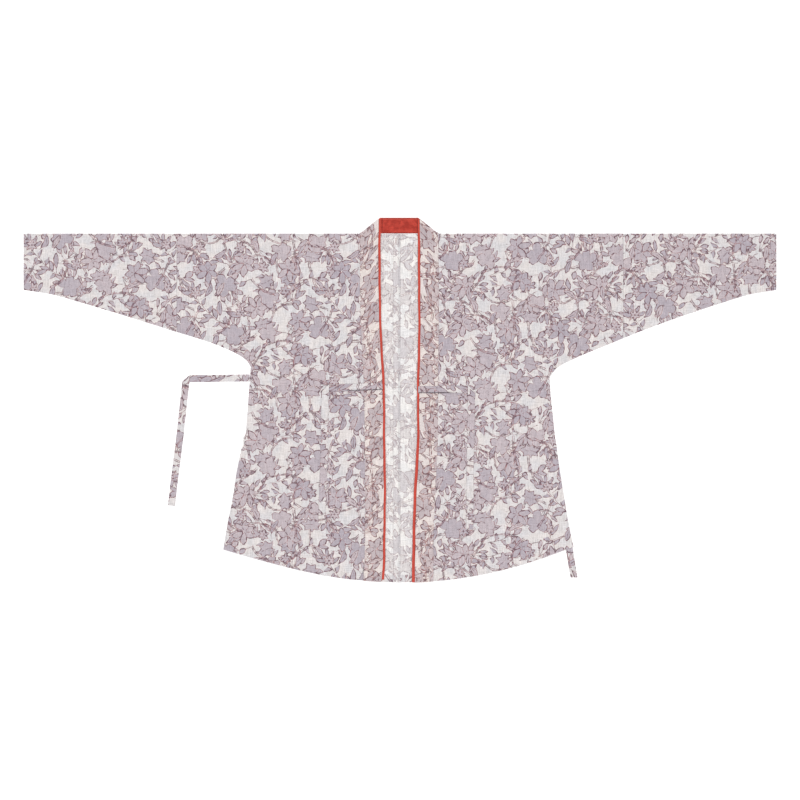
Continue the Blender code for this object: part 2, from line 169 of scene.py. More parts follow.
def smoothed(table, reach):
    """The same edge with the corners between the solid's straight cells rounded off."""
    places, values = table
    half = round(reach / SLICE)
    ramp = values[0] + (values[-1] - values[0]) * np.linspace(0, 1, len(values))
    bow = np.pad(values - ramp, half, mode="reflect", reflect_type="odd")
    weights = np.hanning(2 * half + 3)[1:-1]
    return places, ramp + np.convolve(bow, weights / weights.sum(), mode="valid")


LAYERS = ("front", "back")
OPENING = {hand: smoothed(edge_by_down(hand, "front", inner=True), 0.03) for hand in HANDS}
HEM, UNDERARM, OUTER = {}, {}, {}
for hand in HANDS:
    for layer in LAYERS:
        downs, outs = edge_by_down(hand, layer, inner=False)
        skirt = downs > ARMPIT[hand][1]
        downs, outs = downs[skirt], outs[skirt]
        corner = outs.argmax()
        OUTER[hand, layer] = downs[: corner + 1], outs[: corner + 1]
        HEM[hand, layer] = smoothed(edge_by_out(hand, layer, 0.0005, outs[corner], 1.0), 0.02)
        pit_out, pit_down = ARMPIT[hand]
        arm = edge_by_out(hand, layer, pit_out, FLAT_CUFF, pit_down + 0.001)
        UNDERARM[hand, layer] = smoothed(arm, 0.008)
        print(hand, layer, "hem corner at", round(outs[corner], 3), round(downs[corner], 3))


def read_off(place, table):
    return float(np.interp(place, *table))


def opening(hand, down):
    """How far out the front's inner edge is, which is sewn to the collar."""
    return read_off(down, OPENING[hand])


def side_edge(hand, layer, down):
    return read_off(down, OUTER[hand, layer])


def side_corner(hand, layer):
    """Where the side edge ends, at the hem."""
    downs, outs = OUTER[hand, layer]
    return float(outs[-1]), float(downs[-1])


def hem_edge(hand, layer, out):
    return read_off(out, HEM[hand, layer])


def underarm(hand, layer, out):
    return read_off(out, UNDERARM[hand, layer])


# %% [markdown]
# ## How the front lies
# The front lies a little loose over the back, in wide soft waves. They are part of the
# solid, in cells of about 3 cm. Rays shot down at the solid read its height every 5 mm,
# and blurring that map turns the flat cells into smooth waves.

# %% A height map of each half
RASTER = 0.005
BLUR_PASSES = 3


def height_map(hand):
    """The height of the half's upper face on a raster of (down, out)."""
    corners = CLOTH_TRIANGLES[hand].reshape(-1, 3)
    tree = BVHTree.FromPolygons(corners.tolist(), np.arange(len(corners)).reshape(-1, 3).tolist())
    downs = np.arange(0.004, PAST_HEM, RASTER)
    outs = np.arange(0.085, FLAT_CUFF, RASTER)
    heights = np.full((len(downs), len(outs)), np.nan)
    for row, down in enumerate(downs):
        for column, out in enumerate(outs):
            hit = tree.ray_cast(in_plan(hand, out, down, 0.1), Vector((0, 0, -1)))
            if hit[0] is not None and hit[0].z > SPLIT:
                heights[row, column] = hit[0].z
    while np.isnan(heights).any():
        padded = np.pad(heights, 1, constant_values=np.nan)
        near = np.stack([padded[1:-1, :-2], padded[1:-1, 2:], padded[:-2, 1:-1], padded[2:, 1:-1]])
        known = ~np.isnan(near)
        total = np.where(known, near, 0).sum(axis=0)
        count = known.sum(axis=0)
        fill = np.isnan(heights) & (count > 0)
        heights[fill] = total[fill] / count[fill]
    for _ in range(BLUR_PASSES):
        padded = np.pad(heights, 1, mode="edge")
        heights = (padded[:-2, 1:-1] + 2 * padded[1:-1, 1:-1] + padded[2:, 1:-1]) / 4
        padded = np.pad(heights, 1, mode="edge")
        heights = (padded[1:-1, :-2] + 2 * padded[1:-1, 1:-1] + padded[1:-1, 2:]) / 4
    return downs[0], outs[0], heights


HEIGHTS = {hand: height_map(hand) for hand in HANDS}
for hand in HANDS:
    print(hand, "front lies", (HEIGHTS[hand][2].min() * 1000).round(2), "to",
          (HEIGHTS[hand][2].max() * 1000).round(2), "mm up")


def smooth_height(hand, out, down):
    """The height at a point, between the four nearest points of the raster."""
    down_start, out_start, heights = HEIGHTS[hand]
    row = min(max((down - down_start) / RASTER, 0), heights.shape[0] - 1.001)
    column = min(max((out - out_start) / RASTER, 0), heights.shape[1] - 1.001)
    i, j = int(row), int(column)
    upper = mixed(heights[i, j], heights[i, j + 1], column - j)
    lower = mixed(heights[i + 1, j], heights[i + 1, j + 1], column - j)
    return float(mixed(upper, lower, row - i))


# %% [markdown]
# ## Creases and pressed turnings
# Smaller creases are listed, each as a start, an end, a width and a height. A
# negative height makes a trough. They fan out from the armpits, where the cut has a
# corner, and run along the sleeves. A turned hem is double cloth, so its outer face stands
# a fraction of a millimetre higher. At a sewn seam the face dips into a soft ditch.

# %% Creases
Crease = namedtuple("Crease", "start end width height bow")

CREASES = {
    "right": (
        Crease(Edge(0.350, 0.318), Edge(0.275, 0.205), 0.010, 0.0007, 0.012),
        Crease(Edge(0.346, 0.330), Edge(0.225, 0.292), 0.008, -0.0005, -0.008),
        Crease(Edge(0.368, 0.296), Edge(0.420, 0.175), 0.009, 0.0006, 0.010),
        Crease(Edge(0.352, 0.345), Edge(0.318, 0.470), 0.009, 0.0006, 0.008),
        Crease(Edge(0.470, 0.215), Edge(0.640, 0.120), 0.008, -0.0005, 0.014),
        Crease(Edge(0.600, 0.190), Edge(0.850, 0.110), 0.010, 0.0006, -0.010),
        Crease(Edge(0.130, 0.180), Edge(0.250, 0.090), 0.012, 0.0005, 0.015),
        Crease(Edge(0.180, 0.560), Edge(0.215, 0.790), 0.010, 0.0006, -0.012),
        Crease(Edge(0.310, 0.600), Edge(0.350, 0.770), 0.008, -0.0005, 0.010),
        Crease(Edge(0.105, 0.410), Edge(0.125, 0.620), 0.009, 0.0004, 0.006),
    ),
    "left": (
        Crease(Edge(0.282, 0.331), Edge(0.354, 0.338), 0.006, -0.0007, 0.003),
        Crease(Edge(0.352, 0.330), Edge(0.262, 0.228), 0.010, 0.0007, -0.012),
        Crease(Edge(0.374, 0.310), Edge(0.452, 0.196), 0.009, 0.0006, -0.010),
        Crease(Edge(0.350, 0.362), Edge(0.300, 0.520), 0.009, 0.0006, 0.010),
        Crease(Edge(0.440, 0.262), Edge(0.610, 0.150), 0.008, -0.0005, -0.012),
        Crease(Edge(0.640, 0.110), Edge(0.868, 0.060), 0.010, 0.0006, 0.008),
        Crease(Edge(0.125, 0.120), Edge(0.240, 0.230), 0.012, 0.0005, 0.014),
        Crease(Edge(0.215, 0.600), Edge(0.200, 0.800), 0.010, 0.0006, 0.010),
        Crease(Edge(0.330, 0.560), Edge(0.372, 0.740), 0.008, -0.0005, -0.008),
        Crease(Edge(0.115, 0.520), Edge(0.110, 0.700), 0.009, 0.0004, -0.006),
    ),
}


def crease_height(crease, out, down):
    """One crease's height at a point: bowed, round across, and fading at both ends."""
    along = (crease.end.out - crease.start.out, crease.end.down - crease.start.down)
    length = math.hypot(*along)
    away = (out - crease.start.out, down - crease.start.down)
    share = (away[0] * along[0] + away[1] * along[1]) / length**2
    if not 0 < share < 1:
        return 0.0
    across = (away[0] * along[1] - away[1] * along[0]) / length
    across -= crease.bow * 4 * share * (1 - share)
    fade = eased(3 * share) * eased(1.6 * (1 - share))
    return crease.height * fade * bell(across, crease.width * (0.7 + 0.6 * share))


HEM_TURNING = 0.018
CUFF_TURNING = 0.015
TURNING_STEP = 0.00012
STEP_WIDTH = 0.002
DITCH = 0.00045
SLEEVE_DITCH = 0.0013
COLLAR_DITCH = 0.0015
SEWN_HEIGHT = 0.00125
SEAM_REACH = 0.0015
SEAM_REACH_OVER_TIE = 0.0008
SLIT_TOP = {"right": 0.511, "left": 0.500}
TIE_SIDE = 0.362
EDGE_CALM = 0.012


def from_sewn_seam(hand, out, down):
    """How far inside the underarm or side seam a point is, or None below the slit."""
    pit_out, pit_down = ARMPIT[hand]
    if down > SLIT_TOP[hand]:
        return None
    if down > pit_down:
        return side_edge(hand, "front", down) - out
    if out > pit_out:
        return underarm(hand, "front", out) - down
    return math.hypot(out - pit_out, down - pit_down)


def turning_step(from_edge, turning):
    """The small step up onto the double cloth along an edge."""
    return TURNING_STEP * (1 - eased((from_edge - turning) / STEP_WIDTH + 0.5))


def front_height(hand, out, down):
    """The height of the front's outer face, with creases, turnings, ditches and sewn edges."""
    z = smooth_height(hand, out, down)
    above_hem = hem_edge(hand, "front", out) - down
    inside_opening = out - opening(hand, down)
    calm = eased(down / EDGE_CALM) * eased(inside_opening / EDGE_CALM)
    z += calm * sum(crease_height(crease, out, down) for crease in CREASES[hand])
    if down > ARMPIT[hand][1] + BELOW_ARMPIT:
        z += turning_step(above_hem, HEM_TURNING)
    z += turning_step(FLAT_CUFF - out, CUFF_TURNING)
    z -= DITCH * bell(out - SLEEVE_SEAM, SLEEVE_DITCH)
    z -= DITCH * bell(inside_opening, COLLAR_DITCH)
    seam = from_sewn_seam(hand, out, down)
    if seam is not None:
        over_tie = hand == "left" and down > TIE_SIDE
        reach = SEAM_REACH_OVER_TIE if over_tie else SEAM_REACH
        z = SEWN_HEIGHT + (z - SEWN_HEIGHT) * (1 - falling(1.0, max(seam, 0), reach))
    return z


mid_sleeve = front_height("right", 0.7, 0.08)
print("Height in the middle of the right sleeve:", round(mid_sleeve * 1000, 2), "mm")

# %% [markdown]
# ## Making a sheet
# A sheet of cloth could be a subdivided plane pushed into shape. Here it is made in mesh
# code, because its edges are curves and its print has to lie true to the cut. Each
# piece is a grid of points, with the flat cut beside it as a UV map called "cut", in
# metres. The Solidify modifier then gives it its thickness on the inner side, where
# the cloth shows its wrong side. Turned hems are twice as thick as single cloth.

# %% Sheet makers
CELL = 0.005
EDGE_STEPS = (0.0, 0.0008, 0.0020, 0.0040)
SINGLE_CLOTH = 0.00050
DOUBLE_CLOTH = 0.00095
LAYER = 0.0013


def steps(length, fine_start=True, fine_end=True, cell=CELL):
    """Shares along a stretch: even cells, with finer ones next to its edges."""
    start = EDGE_STEPS if fine_start else EDGE_STEPS[:1]
    end = EDGE_STEPS if fine_end else EDGE_STEPS[:1]
    first, last = start[-1], length - end[-1]
    count = max(1, round((last - first) / cell))
    even = [mixed(first, last, i / count) for i in range(count + 1)]
    places = list(start[:-1]) + even + [length - step for step in reversed(end[:-1])]
    return [place / length for place in places]


def put_in_scene(name, data):
    """A new object at the origin that holds the data."""
    made = bpy.data.objects.new(name, data)
    bpy.context.scene.collection.objects.link(made)
    return made


def select_only(piece):
    """Deselects all else first, because an operator acts on everything that is selected."""
    bpy.ops.object.select_all(action="DESELECT")
    piece.select_set(True)
    bpy.context.view_layer.objects.active = piece


def as_grid(rows):
    """Rows of {column: (point, cut)} as one grid of (point, cut) by (row, column)."""
    return {(i, column): place for i, row in enumerate(rows) for column, place in row.items()}


def sheet_mesh(name, grid):
    """A mesh from a grid of (point, cut) by (row, column). Its first face looks up."""
    mesh = bmesh.new()
    cut = mesh.loops.layers.uv.new("cut")
    made = {key: mesh.verts.new(point) for key, (point, _) in grid.items()}
    area = 0.0
    for row, column in sorted(grid):
        ring = [(row, column), (row, column + 1), (row + 1, column + 1), (row + 1, column)]
        if not all(key in grid for key in ring):
            continue
        face = mesh.faces.new([made[key] for key in ring])
        corners = [grid[key][1] for key in ring]
        for loop, corner in zip(face.loops, corners):
            loop[cut].uv = corner
        area += abs(sum(
            a[0] * b[1] - b[0] * a[1] for a, b in zip(corners, corners[1:] + corners[:1])
        )) / 2
    mesh.faces.ensure_lookup_table()
    mesh.normal_update()
    if sum(face.normal.z for face in mesh.faces[:20]) < 0:
        bmesh.ops.reverse_faces(mesh, faces=mesh.faces)
    data = bpy.data.meshes.new(name)
    mesh.to_mesh(data)
    mesh.free()
    data.shade_smooth()
    data.materials.append(None)
    data.materials.append(None)
    return put_in_scene(name, data)


def thicken(piece, doubled=None, thickness=SINGLE_CLOTH):
    """Gives a sheet its thickness on the inner side. doubled(point) is true on a turning."""
    wall = piece.modifiers.new("cloth", "SOLIDIFY")
    wall.offset = -1
    wall.thickness = thickness
    wall.material_offset = 1
    if doubled is not None:
        group = piece.vertex_groups.new(name="doubled")
        for vertex in piece.data.vertices:
            group.add([vertex.index], 1.0 if doubled(vertex.co) else 0.0, "REPLACE")
        wall.thickness = DOUBLE_CLOTH
        wall.vertex_group = group.name
        wall.thickness_vertex_group = SINGLE_CLOTH / DOUBLE_CLOTH
    select_only(piece)
    bpy.ops.object.modifier_apply(modifier=wall.name)
    piece.data.shade_smooth()
    bpy.ops.object.shade_smooth_by_angle(angle=math.radians(50))
    piece.select_set(False)


print("Cloth", SINGLE_CLOTH * 1000, "mm thick, and", DOUBLE_CLOTH * 1000, "mm where it is turned")

# %% [markdown]
# ## The two halves of the body
# Each half is one length of cloth that goes from the front hem over the shoulder to the
# back hem, so it has no shoulder seam. The grid does the same: rows run up the front, round
# the shoulder fold and down the back. The skirt's rows span the opening and the side edge.
# The rows above the armpit go on to the sleeve seam.

# %% Body
FOLD_RADIUS = 0.0018
FOLD_TURNS = 10
CENTRE_GAP = 0.00015
SEAM_GAP = 0.00015
TUCK = EDGE_STEPS[2]
TUCK_EASE = 0.03
BACK_INSET = 0.0006
PRINT_SHIFT = {
    ("body", "right"): (0.000, 0.000),
    ("body", "left"): (0.117, 0.143),
    ("sleeve", "right"): (0.071, 0.205),
    ("sleeve", "left"): (0.229, 0.052),
}


def cut_place(part, hand, out, drop):
    """Where a point is on the flat cloth. drop is below the shoulder fold, less than 0 behind."""
    shift = PRINT_SHIFT[part, hand]
    return HANDS[hand] * out + shift[0], -drop + shift[1]


def front_point(part, hand, out, down):
    return in_plan(hand, out, down, front_height(hand, out, down)), cut_place(part, hand, out, down)


def back_point(part, hand, out, down):
    return in_plan(hand, out, down, 0.0), cut_place(part, hand, out, -down)


def fold_point(part, hand, out, turn):
    """A point on the shoulder fold, from 0 at the front to 1 at the back."""
    angle = math.pi * turn
    radius = FOLD_RADIUS - DITCH * bell(out - SLEEVE_SEAM, SLEEVE_DITCH)
    down = FOLD_RADIUS - radius * math.sin(angle)
    drop = FOLD_RADIUS * math.cos(angle)
    point = in_plan(hand, out, down, FOLD_RADIUS + radius * math.cos(angle))
    return point, cut_place(part, hand, out, drop)


# %% Rows of the body
def tucked_edge(hand, down):
    """The front's inner edge, which goes a little way under the collar band."""
    return opening(hand, down) - TUCK * eased((down - FOLD_RADIUS) / TUCK_EASE)


def fold_rows(part, hand, outs):
    """The rows round the shoulder fold, from front to back."""
    turns = [i / FOLD_TURNS for i in range(FOLD_TURNS + 1)]
    return [{c: fold_point(part, hand, out, turn) for c, out in enumerate(outs)} for turn in turns]


def skirt_row(layer, hand, across, share, foot_start, inner_edge):
    """A row below the armpit, out to the side edge. share is 0 at the armpit, 1 at the hem."""
    laid = front_point if layer == "front" else back_point
    row = {}
    for column, part in enumerate(across):
        foot = hem_edge(hand, layer, mixed(foot_start, side_corner(hand, layer)[0], part))
        down = mixed(ARMPIT[hand][1], foot, share)
        out = mixed(inner_edge(down), side_edge(hand, layer, down), part)
        row[column] = laid("body", hand, out, down)
    return row


def body_sheet(hand):
    pit_out, pit_down = ARMPIT[hand]
    neck = tucked_edge(hand, FOLD_RADIUS)
    across = steps(pit_out - neck, fine_end=False)
    seam = SLEEVE_SEAM - SEAM_GAP
    arm_steps = steps(seam - pit_out, fine_start=False)[1:]
    arm_outs = [mixed(pit_out, seam, share) for share in arm_steps]
    yoke = [share for share in steps(pit_down - FOLD_RADIUS, fine_start=False) if share > 0]
    drop = side_corner(hand, "front")[1] - pit_down
    skirt = steps(drop, fine_start=False, fine_end=False)[1:]
    rows = []
    for share in reversed(skirt):
        foot_start = opening(hand, NEAR_HEM)
        rows.append(skirt_row(
            "front", hand, across, share, foot_start, lambda down: tucked_edge(hand, down)
        ))
    for share in reversed(yoke):
        down = mixed(FOLD_RADIUS, pit_down, share)
        inner_out = tucked_edge(hand, down)
        places = [(mixed(inner_out, pit_out, part), down) for part in across]
        feet = [underarm(hand, "front", out) for out in arm_outs]
        places += [(out, mixed(FOLD_RADIUS, foot, share)) for out, foot in zip(arm_outs, feet)]
        rows.append({c: front_point("body", hand, *place) for c, place in enumerate(places)})
    outs = [mixed(neck, pit_out, part) for part in across] + arm_outs
    rows += fold_rows("body", hand, outs)
    count = round(neck / CELL)
    inner = {i - count: mixed(CENTRE_GAP, neck, i / count) for i in range(count)}
    for column, out in inner.items():
        rows[-1][column] = back_point("body", hand, out, BACK_INSET)
    for share in yoke:
        down = mixed(FOLD_RADIUS, pit_down, share)
        row = {c: back_point("body", hand, out, down) for c, out in inner.items()}
        for column, out in enumerate(outs):
            foot = pit_down if out <= pit_out else underarm(hand, "back", out)
            row[column] = back_point("body", hand, out, mixed(FOLD_RADIUS, foot, share))
        rows.append(row)
    for share in skirt:
        row = {}
        for column, out in inner.items():
            down = mixed(pit_down, hem_edge(hand, "back", out), share)
            row[column] = back_point("body", hand, out, down)
        row.update(skirt_row("back", hand, across, share, neck, lambda down: neck))
        rows.append(row)
    return as_grid(rows)


# %% Both halves of the body
bodies = {}
for hand in HANDS:
    piece = sheet_mesh(f"body_cloth_{hand}", body_sheet(hand))

    def on_hem(point, hand=hand):
        out, down = abs(point.x), SHOULDER_Y - point.y
        on_skirt = point.z >= SPLIT and down >= ARMPIT[hand][1] + BELOW_ARMPIT
        if not on_skirt or out > side_corner(hand, "front")[0]:
            return False
        return hem_edge(hand, "front", out) - down < HEM_TURNING

    thicken(piece, on_hem)
    bodies[hand] = piece

# %% [markdown]
# ## Sleeves
# The cloth isn't wide enough for the whole arm, so a second piece is joined on at a
# straight seam that hangs below the shoulder. Its print doesn't match the body's. The
# sleeve is folded along the shoulder line, sewn under the arm and turned in at the cuff.

# %% Sleeves
def sleeve_sheet(hand):
    start = SLEEVE_SEAM + SEAM_GAP
    outs = [mixed(start, FLAT_CUFF, share) for share in steps(FLAT_CUFF - start)]
    deep = underarm(hand, "front", start) - FOLD_RADIUS
    yoke = [share for share in steps(deep, fine_start=False) if share > 0]

    def sleeve_row(laid, layer, share):
        downs = [mixed(FOLD_RADIUS, underarm(hand, layer, out), share) for out in outs]
        places = enumerate(zip(outs, downs))
        return {column: laid("sleeve", hand, out, down) for column, (out, down) in places}

    rows = [sleeve_row(front_point, "front", share) for share in reversed(yoke)]
    rows += fold_rows("sleeve", hand, outs)
    rows += [sleeve_row(back_point, "back", share) for share in yoke]
    return as_grid(rows)


sleeves = {}
for hand in HANDS:
    piece = sheet_mesh(f"sleeve_cloth_{hand}", sleeve_sheet(hand))
    thicken(piece, lambda point: abs(point.x) > FLAT_CUFF - CUFF_TURNING)
    sleeves[hand] = piece

# %% [markdown]
# ## The collar
# The collar is one straight strip, sewn up the right front, round behind the neck and
# down the left front. Being straight, it can't follow the corner at the neck, so it turns
# over a slanting fold there, and behind the neck its inner face shows. A red facing lines it
# and comes past the fold edge as a narrow piping.

# %% Collar
COLLAR_WIDTH = 0.044
PIPING = 0.0055
NECK_RISE = 0.0330
NECK_GAP = 0.0003
FOLD_HINGE = 0.0043
FOLD_SOFTNESS = 0.0020
FOLD_LENGTH = math.hypot(COLLAR_WIDTH, NECK_RISE)
COLLAR_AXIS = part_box("collar_band")[1][2] / 2
BAND_RADIUS = COLLAR_AXIS
FACING_RADIUS = COLLAR_AXIS - LAYER
BAND_TRIANGLES = triangles_of("collar_band")
BAND_TOP = 0.0044
BAND_SLICE = 0.002
BAND_TAIL = 8
BAND_END = 0.8
NARROW_CELL = 0.0045
COLLAR_CUT = (0.051, 0.033)


def band_edges(hand):
    """How far out the band's outer edge is at each drop, and how far down its end is.

    The end slants, so the outer edge is followed to just above it and drawn on straight.
    """
    downs, outs = [], []
    for down in np.arange(0.004, 0.826, BAND_SLICE):
        points = cut_by_plane(BAND_TRIANGLES, 1, SHOULDER_Y - down)
        points = points[(points[:, 1] > BAND_TOP) & (points[:, 0] * HANDS[hand] > 0)]
        if len(points):
            downs.append(down)
            outs.append((points[:, 0] * HANDS[hand]).max())
    downs.append(downs[-1] + BAND_TAIL * BAND_SLICE)
    outs.append(2 * outs[-1] - outs[-1 - BAND_TAIL])
    ends = []
    places = np.arange(0.028, 0.092, BAND_SLICE)
    for out in places:
        points = cut_by_plane(BAND_TRIANGLES, 0, HANDS[hand] * out)
        points = points[points[:, 1] > BAND_TOP]
        ends.append(SHOULDER_Y - points[:, 0].min() if len(points) else np.nan)
    ends = np.array(ends)
    known = ~np.isnan(ends) & (ends > BAND_END)
    return (np.array(downs), np.array(outs)), (places[known], ends[known])


BAND = {hand: band_edges(hand) for hand in HANDS}


def collar_seam(hand, down):
    return read_off(down, BAND[hand][0])


def collar_end(hand, out):
    return read_off(out, BAND[hand][1])


for hand in HANDS:
    print(hand, "collar seam ends", round(collar_seam(hand, NEAR_HEM), 3), "m out")


# %% The fold at the neck
def past_hinge(across):
    """The fold line leaves its seam level, bends at the hinge and then runs straight up."""
    past = across - FOLD_HINGE
    return (math.hypot(past, FOLD_SOFTNESS) + past) / 2


def collar_turn_start(hand, across):
    """Where the slanting fold is met by the thread that lies this far across the collar."""
    rise = NECK_RISE * past_hinge(across) / past_hinge(COLLAR_WIDTH)
    return collar_seam(hand, 0) - across, -NECK_GAP - rise


def collar_front_point(hand, across, share, radius):
    start = collar_turn_start(hand, across)
    end = collar_end(hand, collar_seam(hand, NEAR_HEM) - across)
    down = mixed(start[1], end, share)
    return in_plan(hand, collar_seam(hand, down) - across, down, COLLAR_AXIS + radius)


def collar_fold_point(hand, across, turn, radius):
    out, down = collar_turn_start(hand, across)
    angle = math.pi * turn
    reach = radius * math.sin(angle) / FOLD_LENGTH
    z = COLLAR_AXIS + radius * math.cos(angle)
    return in_plan(hand, out + reach * NECK_RISE, down - reach * COLLAR_WIDTH, z)


# %% One strip of the collar
FRONT_POINTS = 141
NECK_POINTS = 15
TURN_POINTS = 11
WAVER, RIPPLE = 0.0006, 0.0003


def collar_strip(front_start, end, radius, profile, left_loose=0.0):
    """The strip's grid. profile(across) is how far its face drops at a place across it.

    Down the front the strip starts front_start in from the seam, to leave room for the body.
    Low on the left front its fold edge lies left_loose further out.
    """
    widths = [end * share for share in steps(end, cell=NARROW_CELL)]
    run = list(np.linspace(0, 1, FRONT_POINTS))
    behind = list(np.linspace(0, 1, NECK_POINTS))
    turns = list(np.linspace(0, 1, TURN_POINTS)[1:-1])
    columns = []
    for across in widths:
        lower = radius - profile(across)

        def front_run(hand, shares, wide=0.0, across=across, lower=lower):
            points = []
            for share in shares:
                waver = WAVER * math.sin(share * 23 + end * 70) + RIPPLE * math.sin(share * 61)
                waver += wide * eased((share - 0.5) * 4)
                at_seam = front_start * (1 - across / end)
                moved = (at_seam + waver * (across / end) ** 6) * eased(share * 40)
                points.append(collar_front_point(hand, across + moved, share, lower))
            return points

        ends = [collar_fold_point(hand, across, 1, lower) for hand in HANDS]
        strip = front_run("right", reversed(run))
        strip += [collar_fold_point("right", across, turn, lower) for turn in turns]
        strip += [ends[0].lerp(ends[1], share) for share in behind]
        strip += [collar_fold_point("left", across, turn, lower) for turn in reversed(turns)]
        strip += front_run("left", run, left_loose)
        columns.append(strip)
    middle = columns[len(columns) // 2]
    lengths = [0.0]
    for a, b in zip(middle, middle[1:]):
        lengths.append(lengths[-1] + (b - a).length)
    grid = {}
    for column, strip in enumerate(columns):
        for row, point in enumerate(strip):
            place = widths[column] + COLLAR_CUT[0], lengths[row] + COLLAR_CUT[1]
            grid[row, column] = point, place
    return grid, lengths[-1]


# %% [markdown]
# ### The band and its facing
# Both are the same strip, one layer apart. A flat strip would look like card, so each gets
# a profile across it: it dips into its seam, and it rolls under at the fold edge.

# %% Band and facing
FACING_START = 0.003


def band_profile(across):
    """The band turns down into its seam at one edge, and under its fold at the other."""
    return falling(0.00105, across, 0.0011) + falling(0.00040, COLLAR_WIDTH - across, 0.0009)


def facing_profile(across):
    """The facing dips at its seam, lies flat under the band and stands round as piping."""
    seam = falling(0.00030, across, 0.0015)
    fold = falling(0.00045, COLLAR_WIDTH + PIPING - across, 0.0008)
    return seam + fold + 0.00020 * bell(across - COLLAR_WIDTH, 0.0009)


band_grid, band_length = collar_strip(0.0, COLLAR_WIDTH, BAND_RADIUS, band_profile)
collar_band = sheet_mesh("collar_band_cloth", band_grid)
thicken(collar_band)
facing_grid, facing_length = collar_strip(
    FACING_START, COLLAR_WIDTH + PIPING, FACING_RADIUS, facing_profile, left_loose=0.0013
)
collar_facing = sheet_mesh("collar_facing_cloth", facing_grid)
thicken(collar_facing)
print("The collar strip is", round(band_length, 3), "m long")

# %% [markdown]
# ## Inside the back
# Two things show in the opening. The turnings of the centre back seam are pressed to the
# right as a strip down the back. The back hem is turned up inside, so the printed side
# of the cloth faces us along the bottom edge. Each is a narrow sheet of its own.

# %% Turnings
ALLOWANCE_WIDTH = 0.016
ALLOWANCE_TOP = 0.0019
ALLOWANCE_IN_SEAM = 0.0007
ALLOWANCE_ROWS = 140
TURNING_CUT = 0.22
BACK_LENGTH = 0.835


def allowance_sheet():
    """The centre seam's turnings. They come up out of the seam and lie on the back."""
    shares = steps(ALLOWANCE_WIDTH, cell=0.004)
    outs = [mixed(-ALLOWANCE_IN_SEAM, ALLOWANCE_WIDTH, share) for share in shares]
    grid = {}
    for column, out in enumerate(outs):
        end = hem_edge("right", "back", out) - BACK_INSET
        seam = falling(0.0006, out + ALLOWANCE_IN_SEAM, 0.0009)
        for row in range(ALLOWANCE_ROWS + 1):
            down = mixed(0.0008, end, row / ALLOWANCE_ROWS)
            wave = 0.00010 * math.sin(down * 61 + 1.3) * (out / ALLOWANCE_WIDTH)
            point = in_plan("right", out, down, ALLOWANCE_TOP - seam + wave)
            grid[row, column] = point, (out + TURNING_CUT, down + 0.09)
    return grid


centre_turning = sheet_mesh("centre_turning_cloth", allowance_sheet())
thicken(centre_turning)

# %% The back hem, turned up inside
BACK_TURNING_TOP = 0.00098
BACK_TURNING_INSET = 0.0004
BACK_TURNING_CLOTH = 0.00040
BACK_TURNING_LEAN = 1.15


def hem_turning_sheet(hand):
    """The back hem's turning, the right side of the cloth up, on the inside of the back."""
    corner_out, corner_down = side_corner(hand, "back")
    outs = [mixed(0.0004, corner_out - 0.002, share) for share in steps(corner_out, cell=0.008)]
    heights = [HEM_TURNING * share for share in steps(HEM_TURNING, cell=NARROW_CELL)]
    grid = {}
    for column, out in enumerate(outs):
        hem_down = hem_edge(hand, "back", out) - BACK_TURNING_INSET
        for row, height in enumerate(heights):
            fall = falling(0.0002, height, 0.0008) + falling(0.0002, HEM_TURNING - height, 0.0012)
            lean = out * height / BACK_TURNING_LEAN
            point = in_plan(hand, out - lean, hem_down - height, BACK_TURNING_TOP - fall)
            grid[row, column] = point, cut_place("body", hand, out, -hem_down - height)
    return grid


hem_turnings = {}
for hand in HANDS:
    piece = sheet_mesh(f"hem_turning_{hand}", hem_turning_sheet(hand))
    thicken(piece, thickness=BACK_TURNING_CLOTH)
    hem_turnings[hand] = piece

# %% [markdown]
# ## The ties
# Each tie is a strip folded lengthwise into four and pressed flat, so it is a thin closed
# band with round edges. A curve with a bevel could make one, but it would twist at the
# fold. Here the cross-section is swept along the tie's own line: out from its root, over
# a slanting fold, and down to its end. The collar, the front or the floor holds it up.

# %% Ties
Tie = namedtuple("Tie", "root corner end")

TIES = {
    "tie_front_right": Tie(Edge(0.0419, 0.3652), Edge(0.178, 0.370), Edge(0.1865, 0.693)),
    "tie_front_left": Tie(Edge(0.0437, 0.3735), Edge(0.171, 0.3725), Edge(0.166, 0.707)),
    "tie_side_right": Tie(Edge(0.3600, 0.3453), Edge(0.5115, 0.3470), Edge(0.5465, 0.651)),
}
INNER_TIE_ROOT_DOWN = 0.365
INNER_TIE_END = Edge(out=0.4165, down=0.823)
INNER_TIE_INSET = 0.0100
INNER_TIE_LOW_INSET = 0.0106
TIE_PAST_HEM = 0.012
TIE_WIDTH = 0.017
TIE_CLOTH = 0.0010
TIE_THICKNESS = 0.00086
TIE_END_THINNED = 0.45
TIE_ACROSS = (-1.0, -0.95, -0.85, -0.65, -0.35, 0.0, 0.35, 0.65, 0.85, 0.95, 1.0)
TIE_ROW = 0.004
TIE_SETTLE = 0.020
TIE_CUT = 0.03
TIE_BACK_CUT = 0.041
FRONT_REST = 0.0005


def half_thickness(across):
    """The band is flat over most of its width, and its pressed folds are round."""
    return TIE_THICKNESS / 2 * max(0.18, (1 - abs(across) ** 8) ** 0.5)


